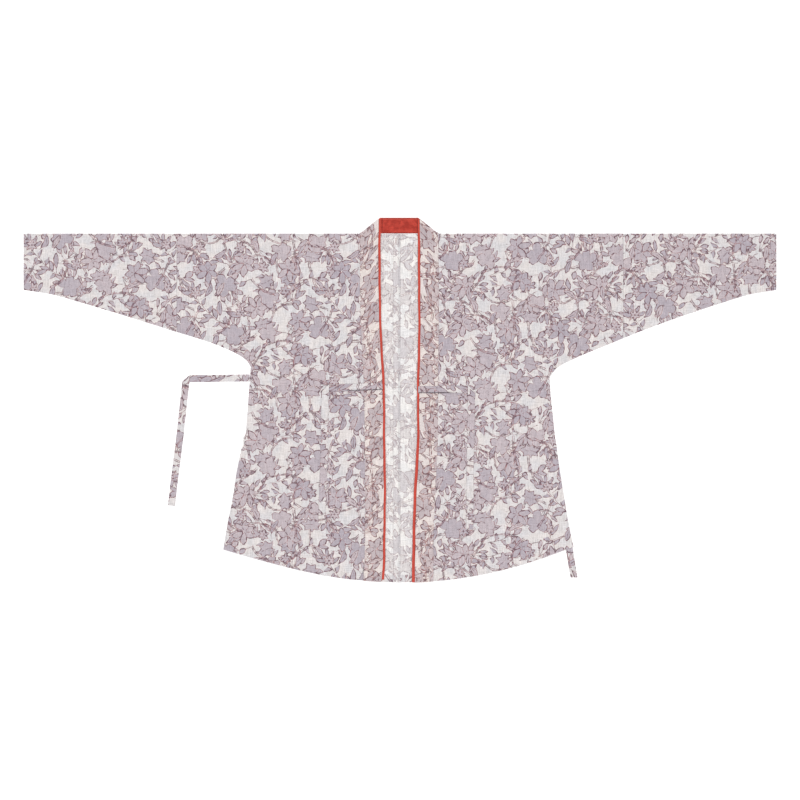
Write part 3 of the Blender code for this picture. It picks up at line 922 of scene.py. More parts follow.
def closed_strip(name, rows, shift):
    """A closed band from rows of (outer, inner) points across it, with its cut beside it."""
    last = len(TIE_ACROSS) - 1
    grid = {}
    length = 0.0
    middle = None
    for row, pairs in enumerate(rows):
        centre = (pairs[last // 2][0] + pairs[last // 2][1]) / 2
        if middle is not None:
            length += (centre - middle).length
        middle = centre
        start, along = shift[0], length + shift[1]
        for i, (outer, inner) in enumerate(pairs):
            across = (TIE_ACROSS[i] + 1) * TIE_WIDTH / 2 + start
            grid[row, i] = outer, (across, along)
            grid[row, 2 * last + 1 - i] = inner, (across + TIE_BACK_CUT, along)
        grid[row, 2 * last + 2] = pairs[0][0], (start, along)
    piece = sheet_mesh(name, grid)
    select_only(piece)
    bpy.ops.object.mode_set(mode="EDIT")
    bpy.ops.mesh.select_all(action="SELECT")
    bpy.ops.mesh.remove_doubles(threshold=0.00001)
    bpy.ops.mesh.select_all(action="DESELECT")
    bpy.ops.mesh.select_non_manifold(extend=False)
    bpy.ops.mesh.edge_face_add()
    bpy.ops.mesh.select_all(action="SELECT")
    bpy.ops.mesh.normals_make_consistent(inside=False)
    bpy.ops.object.mode_set(mode="OBJECT")
    bpy.ops.object.shade_smooth_by_angle(angle=math.radians(60))
    piece.select_set(False)
    print(name, "is", round(length, 3), "m long")
    return piece, length


# %% Rows of a folded tie
def tie_rows(hand, tie, surface):
    """Rows of a folded tie, from its root, over its fold, to its end."""
    root, corner, end = (Vector((edge.out, edge.down)) for edge in tie)
    going = (corner - root).normalized()
    leaving = (end - corner).normalized()
    across_way = Vector((-going.y, going.x))
    fold_way = (going + leaving).normalized()
    outward = (going - leaving).normalized()
    first = list(np.linspace(0, 1, round((corner - root).length / TIE_ROW) + 1))
    run = (end - corner).length
    settles = TIE_WIDTH / 2 + 0.0003
    settle_rows = [settles + TIE_SETTLE * i / 5 for i in range(6)]
    later = settle_rows + list(np.arange(settle_rows[-1] + TIE_ROW, run - 0.0030, TIE_ROW))
    later += [run - 0.0012, run - 0.0003, run]
    turns = [math.pi * i / 8 for i in range(1, 9)]
    columns = []
    for across in TIE_ACROSS:
        side = across * TIE_WIDTH / 2
        half = half_thickness(across)
        start = root + across_way * side
        turn_at = corner + fold_way * (side / across_way.dot(fold_way))
        column = []
        for share in first:
            point = start.lerp(turn_at, float(share))
            z = surface(point.x, point.y) + TIE_CLOTH / 2
            column.append([in_plan(hand, *point, z - half), in_plan(hand, *point, z + half)])
        axis = surface(*turn_at) + (TIE_CLOTH + LAYER) / 2
        for angle in turns:
            pair = []
            for radius in (LAYER / 2 + half, LAYER / 2 - half):
                point = turn_at + outward * (radius * math.sin(angle))
                pair.append(in_plan(hand, *point, axis - radius * math.cos(angle)))
            column.append(pair)
        for distance in later:
            ahead = distance - (turn_at - corner).dot(leaving)
            drift = 0.0006 * math.sin(distance * 23 + corner.x * 40) * eased(distance / 0.1)
            point = turn_at + leaving * ahead + Vector((leaving.y, -leaving.x)) * drift
            raised = 1 - eased((distance - settles) / TIE_SETTLE)
            z = surface(*point) + LAYER * raised + TIE_CLOTH / 2
            thin = half * (1 if distance < run - 0.0006 else TIE_END_THINNED)
            column.append([in_plan(hand, *point, z + thin), in_plan(hand, *point, z - thin)])
        columns.append(column)
    return [[column[row] for column in columns] for row in range(len(columns[0]))]


def front_tie_rows(hand):
    """A front tie, which lies on the collar band and then on the front."""
    on_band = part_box("collar_band")[1][2] + 0.0003

    def surface(out, down):
        seam = collar_seam(hand, down)
        on_panel = smooth_height(hand, max(out, seam + 0.002), down) + FRONT_REST
        past_band = (out - seam - 0.0006) / TIE_SETTLE
        return max(on_panel, mixed(on_band, on_panel, eased(past_band)))

    return tie_rows(hand, TIES[f"tie_front_{hand}"], surface)


def side_tie_rows(hand):
    """The outer side tie, which lies on the floor beside the jacket."""
    return tie_rows(hand, TIES[f"tie_side_{hand}"], lambda out, down: 0.0)


# %% Rows of the inner tie
def inner_tie_out(hand, down):
    """How far out the inner tie's middle is. It keeps to the side edge as far as the hem."""
    corner_down = side_corner(hand, "front")[1]
    low_out = side_edge(hand, "front", min(down, corner_down))
    if down < SLIT_TOP[hand]:
        return low_out - INNER_TIE_INSET
    if down <= corner_down:
        past_slit = (down - SLIT_TOP[hand]) / 0.25
        return low_out - mixed(INNER_TIE_INSET, INNER_TIE_LOW_INSET, past_slit)
    past_corner = (down - corner_down) / (INNER_TIE_END.down - corner_down)
    return mixed(low_out - INNER_TIE_LOW_INSET, INNER_TIE_END.out, past_corner)


def inner_tie_rows(hand):
    """The tie inside the side seam. It lies between front and back, and its end shows."""
    corner_down = side_corner(hand, "front")[1]
    downs = np.linspace(INNER_TIE_ROOT_DOWN, corner_down, 98).tolist()
    downs += np.linspace(corner_down, INNER_TIE_END.down, 19)[1:].tolist()
    rows = []
    for down in downs:
        out = inner_tie_out(hand, down)
        past_hem = down - hem_edge(hand, "back", out - TIE_WIDTH / 2) - TIE_PAST_HEM
        under = LAYER * (1 - eased(past_hem / TIE_SETTLE))
        thinned = TIE_END_THINNED if down > INNER_TIE_END.down - 0.0004 else 1
        pairs = []
        for across in TIE_ACROSS:
            place = in_plan(hand, out + across * TIE_WIDTH / 2, down, under + TIE_CLOTH / 2)
            lift = Vector((0, 0, half_thickness(across) * thinned))
            pairs.append((place - lift, place + lift))
        rows.append(pairs)
    return rows


# %% All four ties
TIE_ROWS = {
    "tie_front_right": (front_tie_rows("right"), (TIE_CUT, -0.07)),
    "tie_front_left": (front_tie_rows("left"), (TIE_CUT, 0.07)),
    "tie_side_right": (side_tie_rows("right"), (0.13, 0.11)),
    "tie_inner_left": (inner_tie_rows("left"), (0.19, 0.02)),
}
ties, tie_lengths = {}, {}
for name, (rows, shift) in TIE_ROWS.items():
    ties[name], tie_lengths[name] = closed_strip(f"{name}_band", rows, shift)

# %% [markdown]
# ## Sewing
# A hand stitch is a short float of thread that dips into the cloth at both ends. It is
# modelled once, as a small sphere drawn out into a grain with its ends pulled down, and
# then copied along each seam. Hems have one tiny stitch every centimetre. The ties have
# a close running stitch along one edge and across the end, and a box of it at the root.

# %% One stitch
bpy.ops.object.select_all(action="DESELECT")
bpy.ops.mesh.primitive_uv_sphere_add(segments=6, ring_count=4, radius=0.5)
stitch_model = bpy.context.object
bpy.ops.object.mode_set(mode="EDIT")
bpy.ops.mesh.select_all(action="SELECT")
bpy.ops.transform.rotate(value=math.pi / 2, orient_axis="Y", center_override=(0, 0, 0))
bpy.ops.transform.resize(value=(1.0, 0.22, 0.16))
bpy.ops.object.mode_set(mode="OBJECT")
for vertex in stitch_model.data.vertices:
    vertex.co.z -= 0.28 * vertex.co.x**2
# A new sphere's points can be numbered in another order each time, so they are sorted.
in_order = sorted(stitch_model.data.vertices, key=lambda vertex: [round(c, 4) for c in vertex.co])
rank = {vertex.index: i for i, vertex in enumerate(in_order)}
stitch_points = np.array([vertex.co for vertex in in_order])
stitch_faces = sorted(
    tuple(rank[corner] for corner in polygon.vertices) for polygon in stitch_model.data.polygons
)
bpy.data.objects.remove(stitch_model)
print("One stitch has", len(stitch_faces), "faces")


# %% Copying the stitch
def sew(name, piece, hand, runs):
    """Copies the stitch onto a piece, along runs of (places, spacing, length)."""
    tree = BVHTree.FromObject(piece, bpy.context.evaluated_depsgraph_get())
    points, faces = [], []
    for places, spacing, length in runs:
        path = [in_plan(hand, out, down, 0) for out, down in places]
        for a, b in zip(path, path[1:]):
            count = max(1, round((b - a).length / spacing))
            way = (b - a).normalized()
            for i in range(count):
                above = a.lerp(b, (i + 0.5) / count) + Vector((0, 0, 0.02))
                hit, normal, _, _ = tree.ray_cast(above, Vector((0, 0, -1)))
                if hit is None:
                    continue
                along = (way - normal * way.dot(normal)).normalized()
                axes = np.array([along, normal.cross(along), normal])
                first = len(points)
                size = length * (0.92 + 0.16 * ((i * 7) % 5) / 4)
                on_face = np.array(hit) + np.array(normal) * 0.00002
                points.extend((stitch_points * size @ axes + on_face).tolist())
                faces.extend([tuple(first + corner for corner in face) for face in stitch_faces])
    data = bpy.data.meshes.new(name)
    data.from_pydata(points, [], faces)
    data.shade_smooth()
    print(name, len(points) // len(stitch_points), "stitches")
    return put_in_scene(name, data)


# %% [markdown]
# ### Seams to sew
# Rays shot down at the finished piece find its face, so that every stitch lies on the cloth
# and leans as it does. Hems and cuffs are sewn from inside, so only small dots show. The
# ties have longer stitches, and the red facing has a row of its own behind the neck.

# %% Stitches along each seam
HEM_STITCH = 0.0012
HEM_SPACING = 0.0098
TURNING_STITCH = 0.0016
RUNNING_STITCH = 0.0024
RUNNING_SPACING = 0.0042
TIE_EDGE = TIE_WIDTH / 2 - 0.0018
END_SPACING, END_STITCH = 0.0030, 0.0022
NECK_SPACING, NECK_STITCH = 0.0036, 0.0019
NECK_REACH, NECK_UP = 0.046, 0.0022


def tie_runs(tie):
    """A running stitch along a tie's edge, across its end, and a box at its root."""
    root, corner, end = (Vector((edge.out, edge.down)) for edge in tie)
    going = (corner - root).normalized()
    leaving = (end - corner).normalized()
    side = Vector((-going.y, going.x)) * TIE_EDGE
    later_side = Vector((leaving.y, -leaving.x)) * TIE_EDGE
    back = end - leaving * 0.004
    near, far = root + going * 0.0025, root + going * 0.0135
    paths = [
        [far + side, corner - going * 0.011 + side],
        [corner + leaving * 0.012 - later_side, end - leaving * 0.003 - later_side],
        [back - later_side, back + later_side],
        [near + side, far + side, far - side, near - side, near + side],
    ]
    return [(path, RUNNING_SPACING, RUNNING_STITCH) for path in paths]


def hem_places(hand, layer, start, end, count, inset):
    """Places along a hem, as far above its edge as its turning is deep."""
    outs = np.linspace(start, end, count).tolist()
    return [(out, hem_edge(hand, layer, out) - inset) for out in outs]


stitches = {}
for name, tie in TIES.items():
    hand = name.split("_")[-1]
    stitches[name] = sew(f"{name}_stitches", ties[name], hand, tie_runs(tie))
inner_side = INNER_TIE_END.out + TIE_EDGE
inner_other = INNER_TIE_END.out - TIE_EDGE
inner_end = INNER_TIE_END.down
down_edge = [(inner_side - 0.001, inner_end - 0.04), (inner_side, inner_end - 0.003)]
over_end = [(inner_other, inner_end - 0.005), (inner_side, inner_end - 0.005)]
stitches["tie_inner_left"] = sew(
    "tie_inner_left_stitches", ties["tie_inner_left"], "left",
    [(down_edge, RUNNING_SPACING, RUNNING_STITCH), (over_end, END_SPACING, END_STITCH)],
)

# %% Hems, cuffs and neck
for hand in HANDS:
    start, end = opening(hand, NEAR_HEM) + 0.004, side_corner(hand, "front")[0] - 0.006
    hem = hem_places(hand, "front", start, end, 34, HEM_TURNING - 0.0015)
    inset = FLAT_CUFF - CUFF_TURNING + 0.0012
    cuff = [(inset, 0.006), (inset, underarm(hand, "front", inset) - 0.004)]
    end = side_corner(hand, "back")[0] - 0.012
    back_hem = hem_places(hand, "back", 0.003, end, 40, HEM_TURNING - 0.0012)
    for name, piece, places, length in (
        ("hem", bodies[hand], hem, HEM_STITCH),
        ("cuff", sleeves[hand], cuff, HEM_STITCH),
        ("turning", hem_turnings[hand], back_hem, TURNING_STITCH),
    ):
        runs = [(places, HEM_SPACING, length)]
        stitches[f"{name}_{hand}"] = sew(f"{name}_stitches_{hand}", piece, hand, runs)
neck_runs = [([(NECK_REACH, -NECK_UP), (-NECK_REACH, -NECK_UP)], NECK_SPACING, NECK_STITCH)]
stitches["facing"] = sew("facing_stitches", collar_facing, "right", neck_runs)

# %% [markdown]
# ## Colours on nodes
# The print is drawn by a node tree, not by a picture, so it stays sharp at any distance.
# A tree of that size is hard to read as node after node. This small class lets a formula
# be written as a sum, and each operator in it adds one Math node.

# %% Arithmetic on node sockets
class Field:
    """A value that changes over the cloth. Arithmetic on it adds Math nodes to its tree."""

    def __init__(self, tree, socket):
        self.tree = tree
        self.socket = socket

    def then(self, operation, *others):
        sum_node = self.tree.nodes.new("ShaderNodeMath")
        sum_node.operation = operation
        for value, socket in zip((self, *others), sum_node.inputs):
            feed(self.tree, value, socket)
        return Field(self.tree, sum_node.outputs[0])

    def __add__(self, other):
        return self.then("ADD", other)

    def __sub__(self, other):
        return self.then("SUBTRACT", other)

    def __rsub__(self, other):
        return self.then("MULTIPLY_ADD", -1.0, other)

    def __mul__(self, other):
        return self.then("MULTIPLY", other)

    def __truediv__(self, other):
        return self.then("DIVIDE", other)

    def __abs__(self):
        return self.then("ABSOLUTE")

    __radd__ = __add__
    __rmul__ = __mul__

    def cos(self):
        return self.then("COSINE")

    def sin(self):
        return self.then("SINE")

    def root(self):
        return self.then("SQRT")

    def nearest(self):
        return self.then("ROUND")

    def least(self, other):
        return self.then("MINIMUM", other)

    def most(self, other):
        return self.then("MAXIMUM", other)

    def above(self, limit):
        """1 where the value is over the limit, and 0 elsewhere."""
        return self.then("GREATER_THAN", limit)


def feed(tree, value, socket):
    """Links a field to the socket, or sets a plain value on it."""
    if isinstance(value, Field):
        tree.links.new(value.socket, socket)
    else:
        socket.default_value = value


def add_node(tree, kind, settings, *values):
    """Adds one node with its settings, and feeds its inputs in order. None leaves one alone."""
    made = tree.nodes.new(kind)
    for name, value in settings.items():
        setattr(made, name, value)
    for value, socket in zip(values, made.inputs):
        if value is not None:
            feed(tree, value, socket)
    return made


# %% Common nodes
def object_place(tree):
    """Where a point is on the model itself, in metres."""
    return Field(tree, tree.nodes.new("ShaderNodeTexCoord").outputs["Object"])


def vector(operation, *values):
    """Vector arithmetic on fields, by the name that Blender gives the operation."""
    tree = values[0].tree
    made = add_node(tree, "ShaderNodeVectorMath", {"operation": operation}, *values)
    return Field(tree, made.outputs[0])


def eased_step(field, start, end):
    """0 before start, 1 after end, and smooth between."""
    kind = {"interpolation_type": "SMOOTHSTEP"}
    made = add_node(field.tree, "ShaderNodeMapRange", kind, field, start, end)
    return Field(field.tree, made.outputs["Result"])


def soft_noise(place, scale, detail=1.0):
    """Soft random values over the cloth, near 0.5, as a field and as a vector field."""
    flat = {"noise_dimensions": "2D"}
    made = add_node(place.tree, "ShaderNodeTexNoise", flat, place, None, scale, detail)
    return Field(place.tree, made.outputs["Fac"]), Field(place.tree, made.outputs["Color"])


def apart(field):
    """A vector's X, Y and Z as three fields."""
    split = add_node(field.tree, "ShaderNodeSeparateXYZ", {}, field)
    return [Field(field.tree, output) for output in split.outputs]


# %% [markdown]
# ## A repeat of the print
# The cloth is printed all over with flowers and leaves in grey mauve, outlined in maroon.
# A printer cuts such a design as one square that repeats. Here the square is divided into
# cells, one motif to a cell. Random numbers that depend only on the cell move the motif,
# turn it, vary it and leave some out, so nothing looks set out in rows.

# %% One cell of the repeat
REPEAT = 0.32


def motif_cell(place, seed, count, start, spread):
    """Splits the repeat into squares. Each square has a middle, a turn and luck of its own.

    Returns x and y from the motif's middle, in metres, and three fields of luck from 0 to 1.
    """
    tree = place.tree
    size = REPEAT / count
    jitter = spread / size
    scaled = vector("MULTIPLY_ADD", place, (1 / size,) * 3, (*start, 0))
    square = vector("WRAP", vector("FLOOR", scaled), (count, count, 1), (0, 0, 0))
    key = vector("ADD", square, (0.5, 0.5, seed + 0.5))
    first = add_node(tree, "ShaderNodeTexWhiteNoise", {"noise_dimensions": "3D"}, key)
    four = {"noise_dimensions": "4D"}
    second = add_node(tree, "ShaderNodeTexWhiteNoise", four, key, 7.5)
    middle = vector(
        "MULTIPLY_ADD",
        Field(tree, first.outputs["Color"]),
        (jitter, jitter, 0),
        (0.5 - jitter / 2, 0.5 - jitter / 2, 0),
    )
    away = vector("SUBTRACT", vector("FRACTION", scaled), middle)
    angle = Field(tree, first.outputs["Value"]) * (2 * math.pi)
    around = {"rotation_type": "Z_AXIS"}
    rotated = add_node(tree, "ShaderNodeVectorRotate", around, away, (0, 0, 0), None, angle)
    x, y, _ = apart(Field(tree, rotated.outputs[0]))
    return x * size, y * size, apart(Field(tree, second.outputs["Color"]))


# %% [markdown]
# ## The motifs
# Each motif is a formula for the distance to its outline, below 0 inside, and a second one
# for its inner lines, such as a midrib. Distances make it easy to fill a shape and to draw
# its outline with a pen of any width. The shapes are ordinary ones: five-petalled blossoms,
# lilies, star flowers, buds, lobed and pointed leaves, branches, fans of leaves, bare stems.

# %% Shapes that motifs share
def polar(x, y):
    """Distance from the middle and angle round it."""
    return (x * x + y * y).root(), y.then("ARCTAN2", x)


def turned(x, y, degrees):
    """The same point on axes turned by a fixed angle."""
    c = math.cos(math.radians(degrees))
    s = math.sin(math.radians(degrees))
    return x * c + y * s, y * c - x * s


def bent(x, y, luck, most):
    """Bends a motif to one side, by luck, so that no two leaves or stems are alike."""
    return x + y * y * ((luck[1] - 0.5) * most)


def pointed(x, y, half_length, half_width):
    """Distance to the edge of a shape with two points, along Y: where two round arcs cross."""
    radius = (half_length**2 + half_width**2) / (2 * half_width)
    side = abs(x) + (radius - half_width)
    return (side * side + y * y).root() - radius


# %% Leaves, buds and flowers
def leaf(x, y, luck):
    """One pointed leaf with a curved midrib, on a short stalk."""
    x = bent(x, y, luck, 34)
    rib = (abs(x) + 0.0002).most(abs(y - 0.010) - 0.0190)
    return pointed(x, y, 0.0175, 0.0060), rib


def bud(x, y, luck):
    """A plump bud on a long bent stalk."""
    x = bent(x, y, luck, 40)
    stalk = abs(x).most(abs(y - 0.0080) - 0.0100)
    return pointed(x, y + 0.0080, 0.0095, 0.0048), stalk


def blossom(x, y, luck):
    """An open flower of five broad petals with frilled rims, folds between them and stamens."""
    r, angle = polar(x, y)
    petal = abs((angle * 2.5).cos()).root()
    frill = (angle * 11 + luck[1] * 6).sin() * 0.0010 + (angle * 3 + luck[1] * 6).sin() * 0.0032
    size = luck[0] * 0.008 + 0.0185
    edge = r - size * (petal * 0.52 + 0.56) - frill
    folds = (petal * r * 0.55).most(r - size * 0.72).most(size * 0.50 - r)
    stamens = abs(r - 0.0040) + abs((angle * 3.5).cos()) * 0.0022 - 0.0002
    return edge * 0.85, folds.least(stamens)


def one_petal(x, y, angle_apart=math.pi / 3):
    """Folds the plane onto one petal: its distance and angle, and the angle within the petal."""
    r, angle = polar(x, y)
    return r, angle, angle - (angle / angle_apart).nearest() * angle_apart


def lily(x, y, luck):
    """A large flower of six long pointed petals with a crease down each."""
    r, angle, local = one_petal(x, y)
    along = r * local.cos() - 0.0140 - (angle + luck[1] * 6).cos() * 0.0045
    edge = pointed(r * local.sin(), along, 0.0150, 0.0074)
    between = (r * (math.pi / 6 - abs(local))).most(abs(r - 0.0070) - 0.0030)
    return edge, between


def lobed_leaf(x, y, luck):
    """A broad leaf with seven pointed lobes, a stalk and a middle rib."""
    r, angle = polar(x, y * 0.86)
    lobes = (1 - abs((angle * 3.5 + math.pi / 4).sin())) * 0.0062
    uneven = (angle * 2 + luck[1] * 6).sin() * 0.0022
    edge = r - lobes - uneven - 0.0112 - luck[0] * 0.0026
    rib = (abs(x) + 0.0003).most(abs(y + 0.004) - 0.0150)
    return edge * 0.85, rib


def star_flower(x, y, luck):
    """A small flower of six pointed petals, each a leaf shape turned round the middle."""
    r, _, local = one_petal(x, y)
    along = r * local.cos() - 0.0060 - luck[0] * 0.0012
    return pointed(r * local.sin(), along, 0.0076, 0.0034), abs(r - 0.0016)


# %% Branches and stems
def branch(x, y, luck):
    """A long bent stem with leaves on both sides by turns, and one at its end."""
    x = bent(x, y, luck, 16)
    pitch = 0.0250
    shifted = y + x.above(0) * (pitch / 2)
    step = (shifted / pitch).nearest().least(1).most(-1)
    across, along = turned(abs(x), shifted - step * pitch, -46)
    sides = pointed(across, along - 0.0165, 0.0135, 0.0050)
    end = pointed(x, y - 0.0340, 0.0125, 0.0050)
    stem = abs(x).most(abs(y + 0.008) - 0.0330)
    stalks = abs(across).most(abs(along - 0.0020) - 0.0030)
    return sides.least(end), stem.least(stalks)


def spray(x, y, luck):
    """Leaves that fan out on bare stems from one point."""
    r, angle = polar(x, y + 0.0190)
    sector = math.radians(27)
    turn = ((angle - math.pi / 2) / sector).nearest().least(2).most(-2)
    local = angle - math.pi / 2 - turn * sector
    across = r * local.sin() + r * r * ((luck[1] - 0.5) * 12)
    along = r * local.cos()
    leaves = pointed(across, along - 0.0300, 0.0105, 0.0042)
    bare = abs(across).most(abs(along - 0.0120) - 0.0130)
    return leaves, bare


def stems(x, y, luck):
    """Two long stems side by side that curve across the cloth, with a bud at one end."""
    x = bent(x, y, luck, 26)
    pair = abs(abs(x) - 0.0011 - abs(y) * 0.03).most(abs(y) - 0.0330) * 0.7
    tip = pointed(x, y - 0.0360, 0.0062, 0.0036)
    return tip, pair


# %% [markdown]
# ### Printing motifs over one another
# A flower printed over a leaf hides it and leaves a thin pale rim round itself. So the
# layers are laid from the lowest to the highest, and each clears the ink under it. The
# result is cover, where there is fill, ink, where there is a line, and a shade of fill.

# %% Layers of the print
def stamp(printed, edge, lines, tone, width):
    """Lays one layer of motifs over what is printed: (cover, ink, shade)."""
    cover, ink, shade = printed
    inside = 1 - eased_step(edge, -0.0004, 0.0004)
    clear = 1 - eased_step(edge, 0.0009, 0.0015)
    outline = 1 - eased_step(abs(edge), width * 0.35, width * 0.75)
    inner = 1 - eased_step(lines, width * 0.25, width * 0.65)
    cover = (cover * (1 - clear)).most(inside)
    shade = shade + (tone - shade) * inside
    ink = (ink * (1 - clear)).most(outline).most(inner * 0.85)
    return cover, ink, shade


# start shifts the squares, so that layers with as many squares fall between one another.
# share is how many of the squares keep their motif.
PrintLayer = namedtuple("PrintLayer", "motif count start spread share")

PRINT_LAYERS = (
    PrintLayer(spray, count=4, start=(0.6, 0.2), spread=0.010, share=0.95),
    PrintLayer(branch, count=3, start=(0.0, 0.0), spread=0.008, share=1.00),
    PrintLayer(stems, count=4, start=(0.1, 0.7), spread=0.008, share=0.85),
    PrintLayer(bud, count=6, start=(0.3, 0.6), spread=0.012, share=0.45),
    PrintLayer(branch, count=3, start=(0.5, 0.45), spread=0.008, share=1.00),
    PrintLayer(leaf, count=6, start=(0.0, 0.0), spread=0.014, share=0.55),
    PrintLayer(star_flower, count=6, start=(0.5, 0.0), spread=0.014, share=0.20),
    PrintLayer(lobed_leaf, count=6, start=(0.5, 0.5), spread=0.016, share=0.30),
    PrintLayer(lily, count=3, start=(0.8, 0.25), spread=0.040, share=0.60),
    PrintLayer(blossom, count=3, start=(0.3, 0.75), spread=0.040, share=0.70),
    PrintLayer(leaf, count=5, start=(0.2, 0.4), spread=0.020, share=0.30),
    PrintLayer(stems, count=4, start=(0.6, 0.1), spread=0.008, share=0.40),
)


# %% The print as a node group
WANDER = 0.0064


def floral_print():
    """A node group that turns a place on the cut into cover, ink, shade and pen."""
    group = bpy.data.node_groups.new("floral_print", "ShaderNodeTree")
    group.interface.new_socket("Place", in_out="INPUT", socket_type="NodeSocketVector")
    for name in ("Cover", "Ink", "Shade", "Pen"):
        group.interface.new_socket(name, in_out="OUTPUT", socket_type="NodeSocketFloat")
    place = Field(group, group.nodes.new("NodeGroupInput").outputs["Place"])
    wander = soft_noise(place, 60.0, 2.0)[1]
    hand_drawn = vector("MULTIPLY_ADD", wander, (WANDER, WANDER, 0), place)
    pen, _ = soft_noise(place, 120.0)
    width = eased_step(pen, 0.36, 0.72) * 0.0015 + 0.0008
    blank = width * 0.0
    printed = (blank, blank, blank)
    for seed, layer in enumerate(PRINT_LAYERS, start=1):
        x, y, luck = motif_cell(hand_drawn, seed, layer.count, layer.start, layer.spread)
        edge, lines = layer.motif(x, y, luck)
        left_out = luck[2].above(layer.share)
        printed = stamp(printed, edge + left_out, lines + left_out, luck[0], width)
    ends = group.nodes.new("NodeGroupOutput")
    for value, socket in zip((*printed, pen), ends.inputs):
        feed(group, value, socket)
    return group


FLORAL_PRINT = floral_print()
print("The print has", len(FLORAL_PRINT.nodes), "nodes")

# %% [markdown]
# ## Cotton
# Thin plain-woven cotton is matt, with a faint bloom of loose fibre and no gloss. Its
# threads are a little uneven, which shows as fine streaks both ways, lighter and darker.
# The colours lie under them: a ground in warm and cool patches, the motifs' fill in two
# tones, and the ink from red brown to grey maroon. The wrong side shows the same print,
# washed out. The centre turnings take a grey tint, more of it within 5 mm of their seam,
# and a painted shadow, a dark line, runs along the lower fold of the front ties.

# %% Cloth finishes
def srgb(r, g, b):
    """A colour on a 0 to 255 scale, as the linear values that nodes use."""
    def linear(c):
        c = c / 255
        return c / 12.92 if c <= 0.04045 else ((c + 0.055) / 1.055) ** 2.4
    return linear(r), linear(g), linear(b), 1.0


def mixed_colour(share, a, b):
    """One colour mixed into another. The node keeps its colours after its numbers."""
    made = add_node(share.tree, "ShaderNodeMix", {"data_type": "RGBA"}, share)
    feed(share.tree, a, made.inputs[6])
    feed(share.tree, b, made.inputs[7])
    return Field(share.tree, made.outputs[2])


def new_material(name):
    """A new material with its node tree and its shader."""
    material = bpy.data.materials.new(name)
    material.use_nodes = True
    return material, material.node_tree, material.node_tree.nodes["Principled BSDF"]


def raise_face(shader, height, strength, depth):
    """Roughens the shader's face by a field of heights. depth is that of 1, in metres."""
    bump = add_node(height.tree, "ShaderNodeBump", {}, strength, depth)
    feed(height.tree, height, bump.inputs["Height"])
    height.tree.links.new(bump.outputs["Normal"], shader.inputs["Normal"])


def set_values(shader, values):
    for name, value in values.items():
        shader.inputs[name].default_value = value


def stretched(place, along, across):
    """The same place on a scale that draws noise out along one way of the cloth."""
    return vector("MULTIPLY", place, (along, across, 1.0))


# %% Cotton
WEAVE = 0.0014
THREADS_APART = 2 * math.pi / WEAVE
FINE, LONG = 420.0, 40.0


def cotton_surface(shader, place, colour, roughness):
    """The cotton's streaks, weave and softness on a shader."""
    warp, _ = soft_noise(stretched(place, FINE, LONG), 1.0)
    weft, _ = soft_noise(stretched(place, LONG, FINE), 1.0)
    mottle, _ = soft_noise(place, 300.0, 2.0)
    x, y, _ = apart(place)
    weave = (x * THREADS_APART).sin() * (y * THREADS_APART).sin()
    streaks = warp + weft
    uneven = warp * 0.40 + weft * 0.28 + mottle * 0.36 + 0.445
    feed(place.tree, vector("SCALE", colour, None, None, uneven), shader.inputs["Base Color"])
    feed(place.tree, roughness - 0.05 + streaks * 0.05, shader.inputs["Roughness"])
    height = weave * 0.25 + streaks * 0.7 + soft_noise(place, 140.0, 2.0)[0] * 1.2
    raise_face(shader, height, 0.35, 0.00028)
    set_values(shader, {"Sheen Weight": 0.12, "Sheen Roughness": 0.45, "Specular IOR Level": 0.25})


def new_finish(name):
    """A new material with its shader and the place on the cut."""
    material, tree, shader = new_material(name)
    cut = add_node(tree, "ShaderNodeUVMap", {"uv_map": "cut"})
    return material, shader, Field(tree, cut.outputs["UV"])


# %% Colours of the print
Palette = namedtuple("Palette", "warm cool pale_fill deep_fill red_ink grey_ink ink")

PRINTED = Palette(
    warm=srgb(223, 216, 214),
    cool=srgb(214, 211, 213),
    pale_fill=srgb(197, 184, 188),
    deep_fill=srgb(177, 168, 177),
    red_ink=srgb(148, 84, 86),
    grey_ink=srgb(102, 68, 80),
    ink=0.92,
)
COLLAR = Palette(
    warm=srgb(227, 216, 211),
    cool=srgb(221, 211, 209),
    pale_fill=srgb(203, 188, 189),
    deep_fill=srgb(184, 172, 176),
    red_ink=srgb(154, 88, 85),
    grey_ink=srgb(108, 72, 79),
    ink=0.92,
)
WRONG_SIDE = Palette(
    warm=srgb(238, 234, 231),
    cool=srgb(232, 230, 230),
    pale_fill=srgb(220, 214, 213),
    deep_fill=srgb(208, 202, 205),
    red_ink=srgb(186, 162, 160),
    grey_ink=srgb(166, 152, 157),
    ink=0.80,
)


# %% Printed cotton
def printed_finish(name, palette, tint=None, share=None):
    """Cotton with the floral print in one palette, mixed with a tint by share(place)."""
    material, shader, place = new_finish(name)
    drawn = add_node(place.tree, "ShaderNodeGroup", {"node_tree": FLORAL_PRINT}, place)
    cover, ink, shade, pen = [Field(place.tree, output) for output in drawn.outputs]
    patches, _ = soft_noise(place, 30.0, 3.0)
    bleed, _ = soft_noise(place, 55.0)
    ground = mixed_colour(eased_step(patches, 0.30, 0.70), palette.cool, palette.warm)
    tone = eased_step(shade * 0.6 + bleed * 0.4, 0.1, 0.9)
    fill = mixed_colour(tone, palette.pale_fill, palette.deep_fill)
    line_colour = mixed_colour(eased_step(pen, 0.35, 0.65), palette.red_ink, palette.grey_ink)
    colour = mixed_colour(cover, ground, fill)
    colour = mixed_colour(ink * palette.ink, colour, line_colour)
    if share is not None:
        colour = mixed_colour(share(place), colour, tint)
    cotton_surface(shader, place, colour, 0.86)
    return material


DARKER_TO = TURNING_CUT + 0.005
TIE_LOWER_FOLD = TIE_CUT + TIE_BACK_CUT + TIE_WIDTH


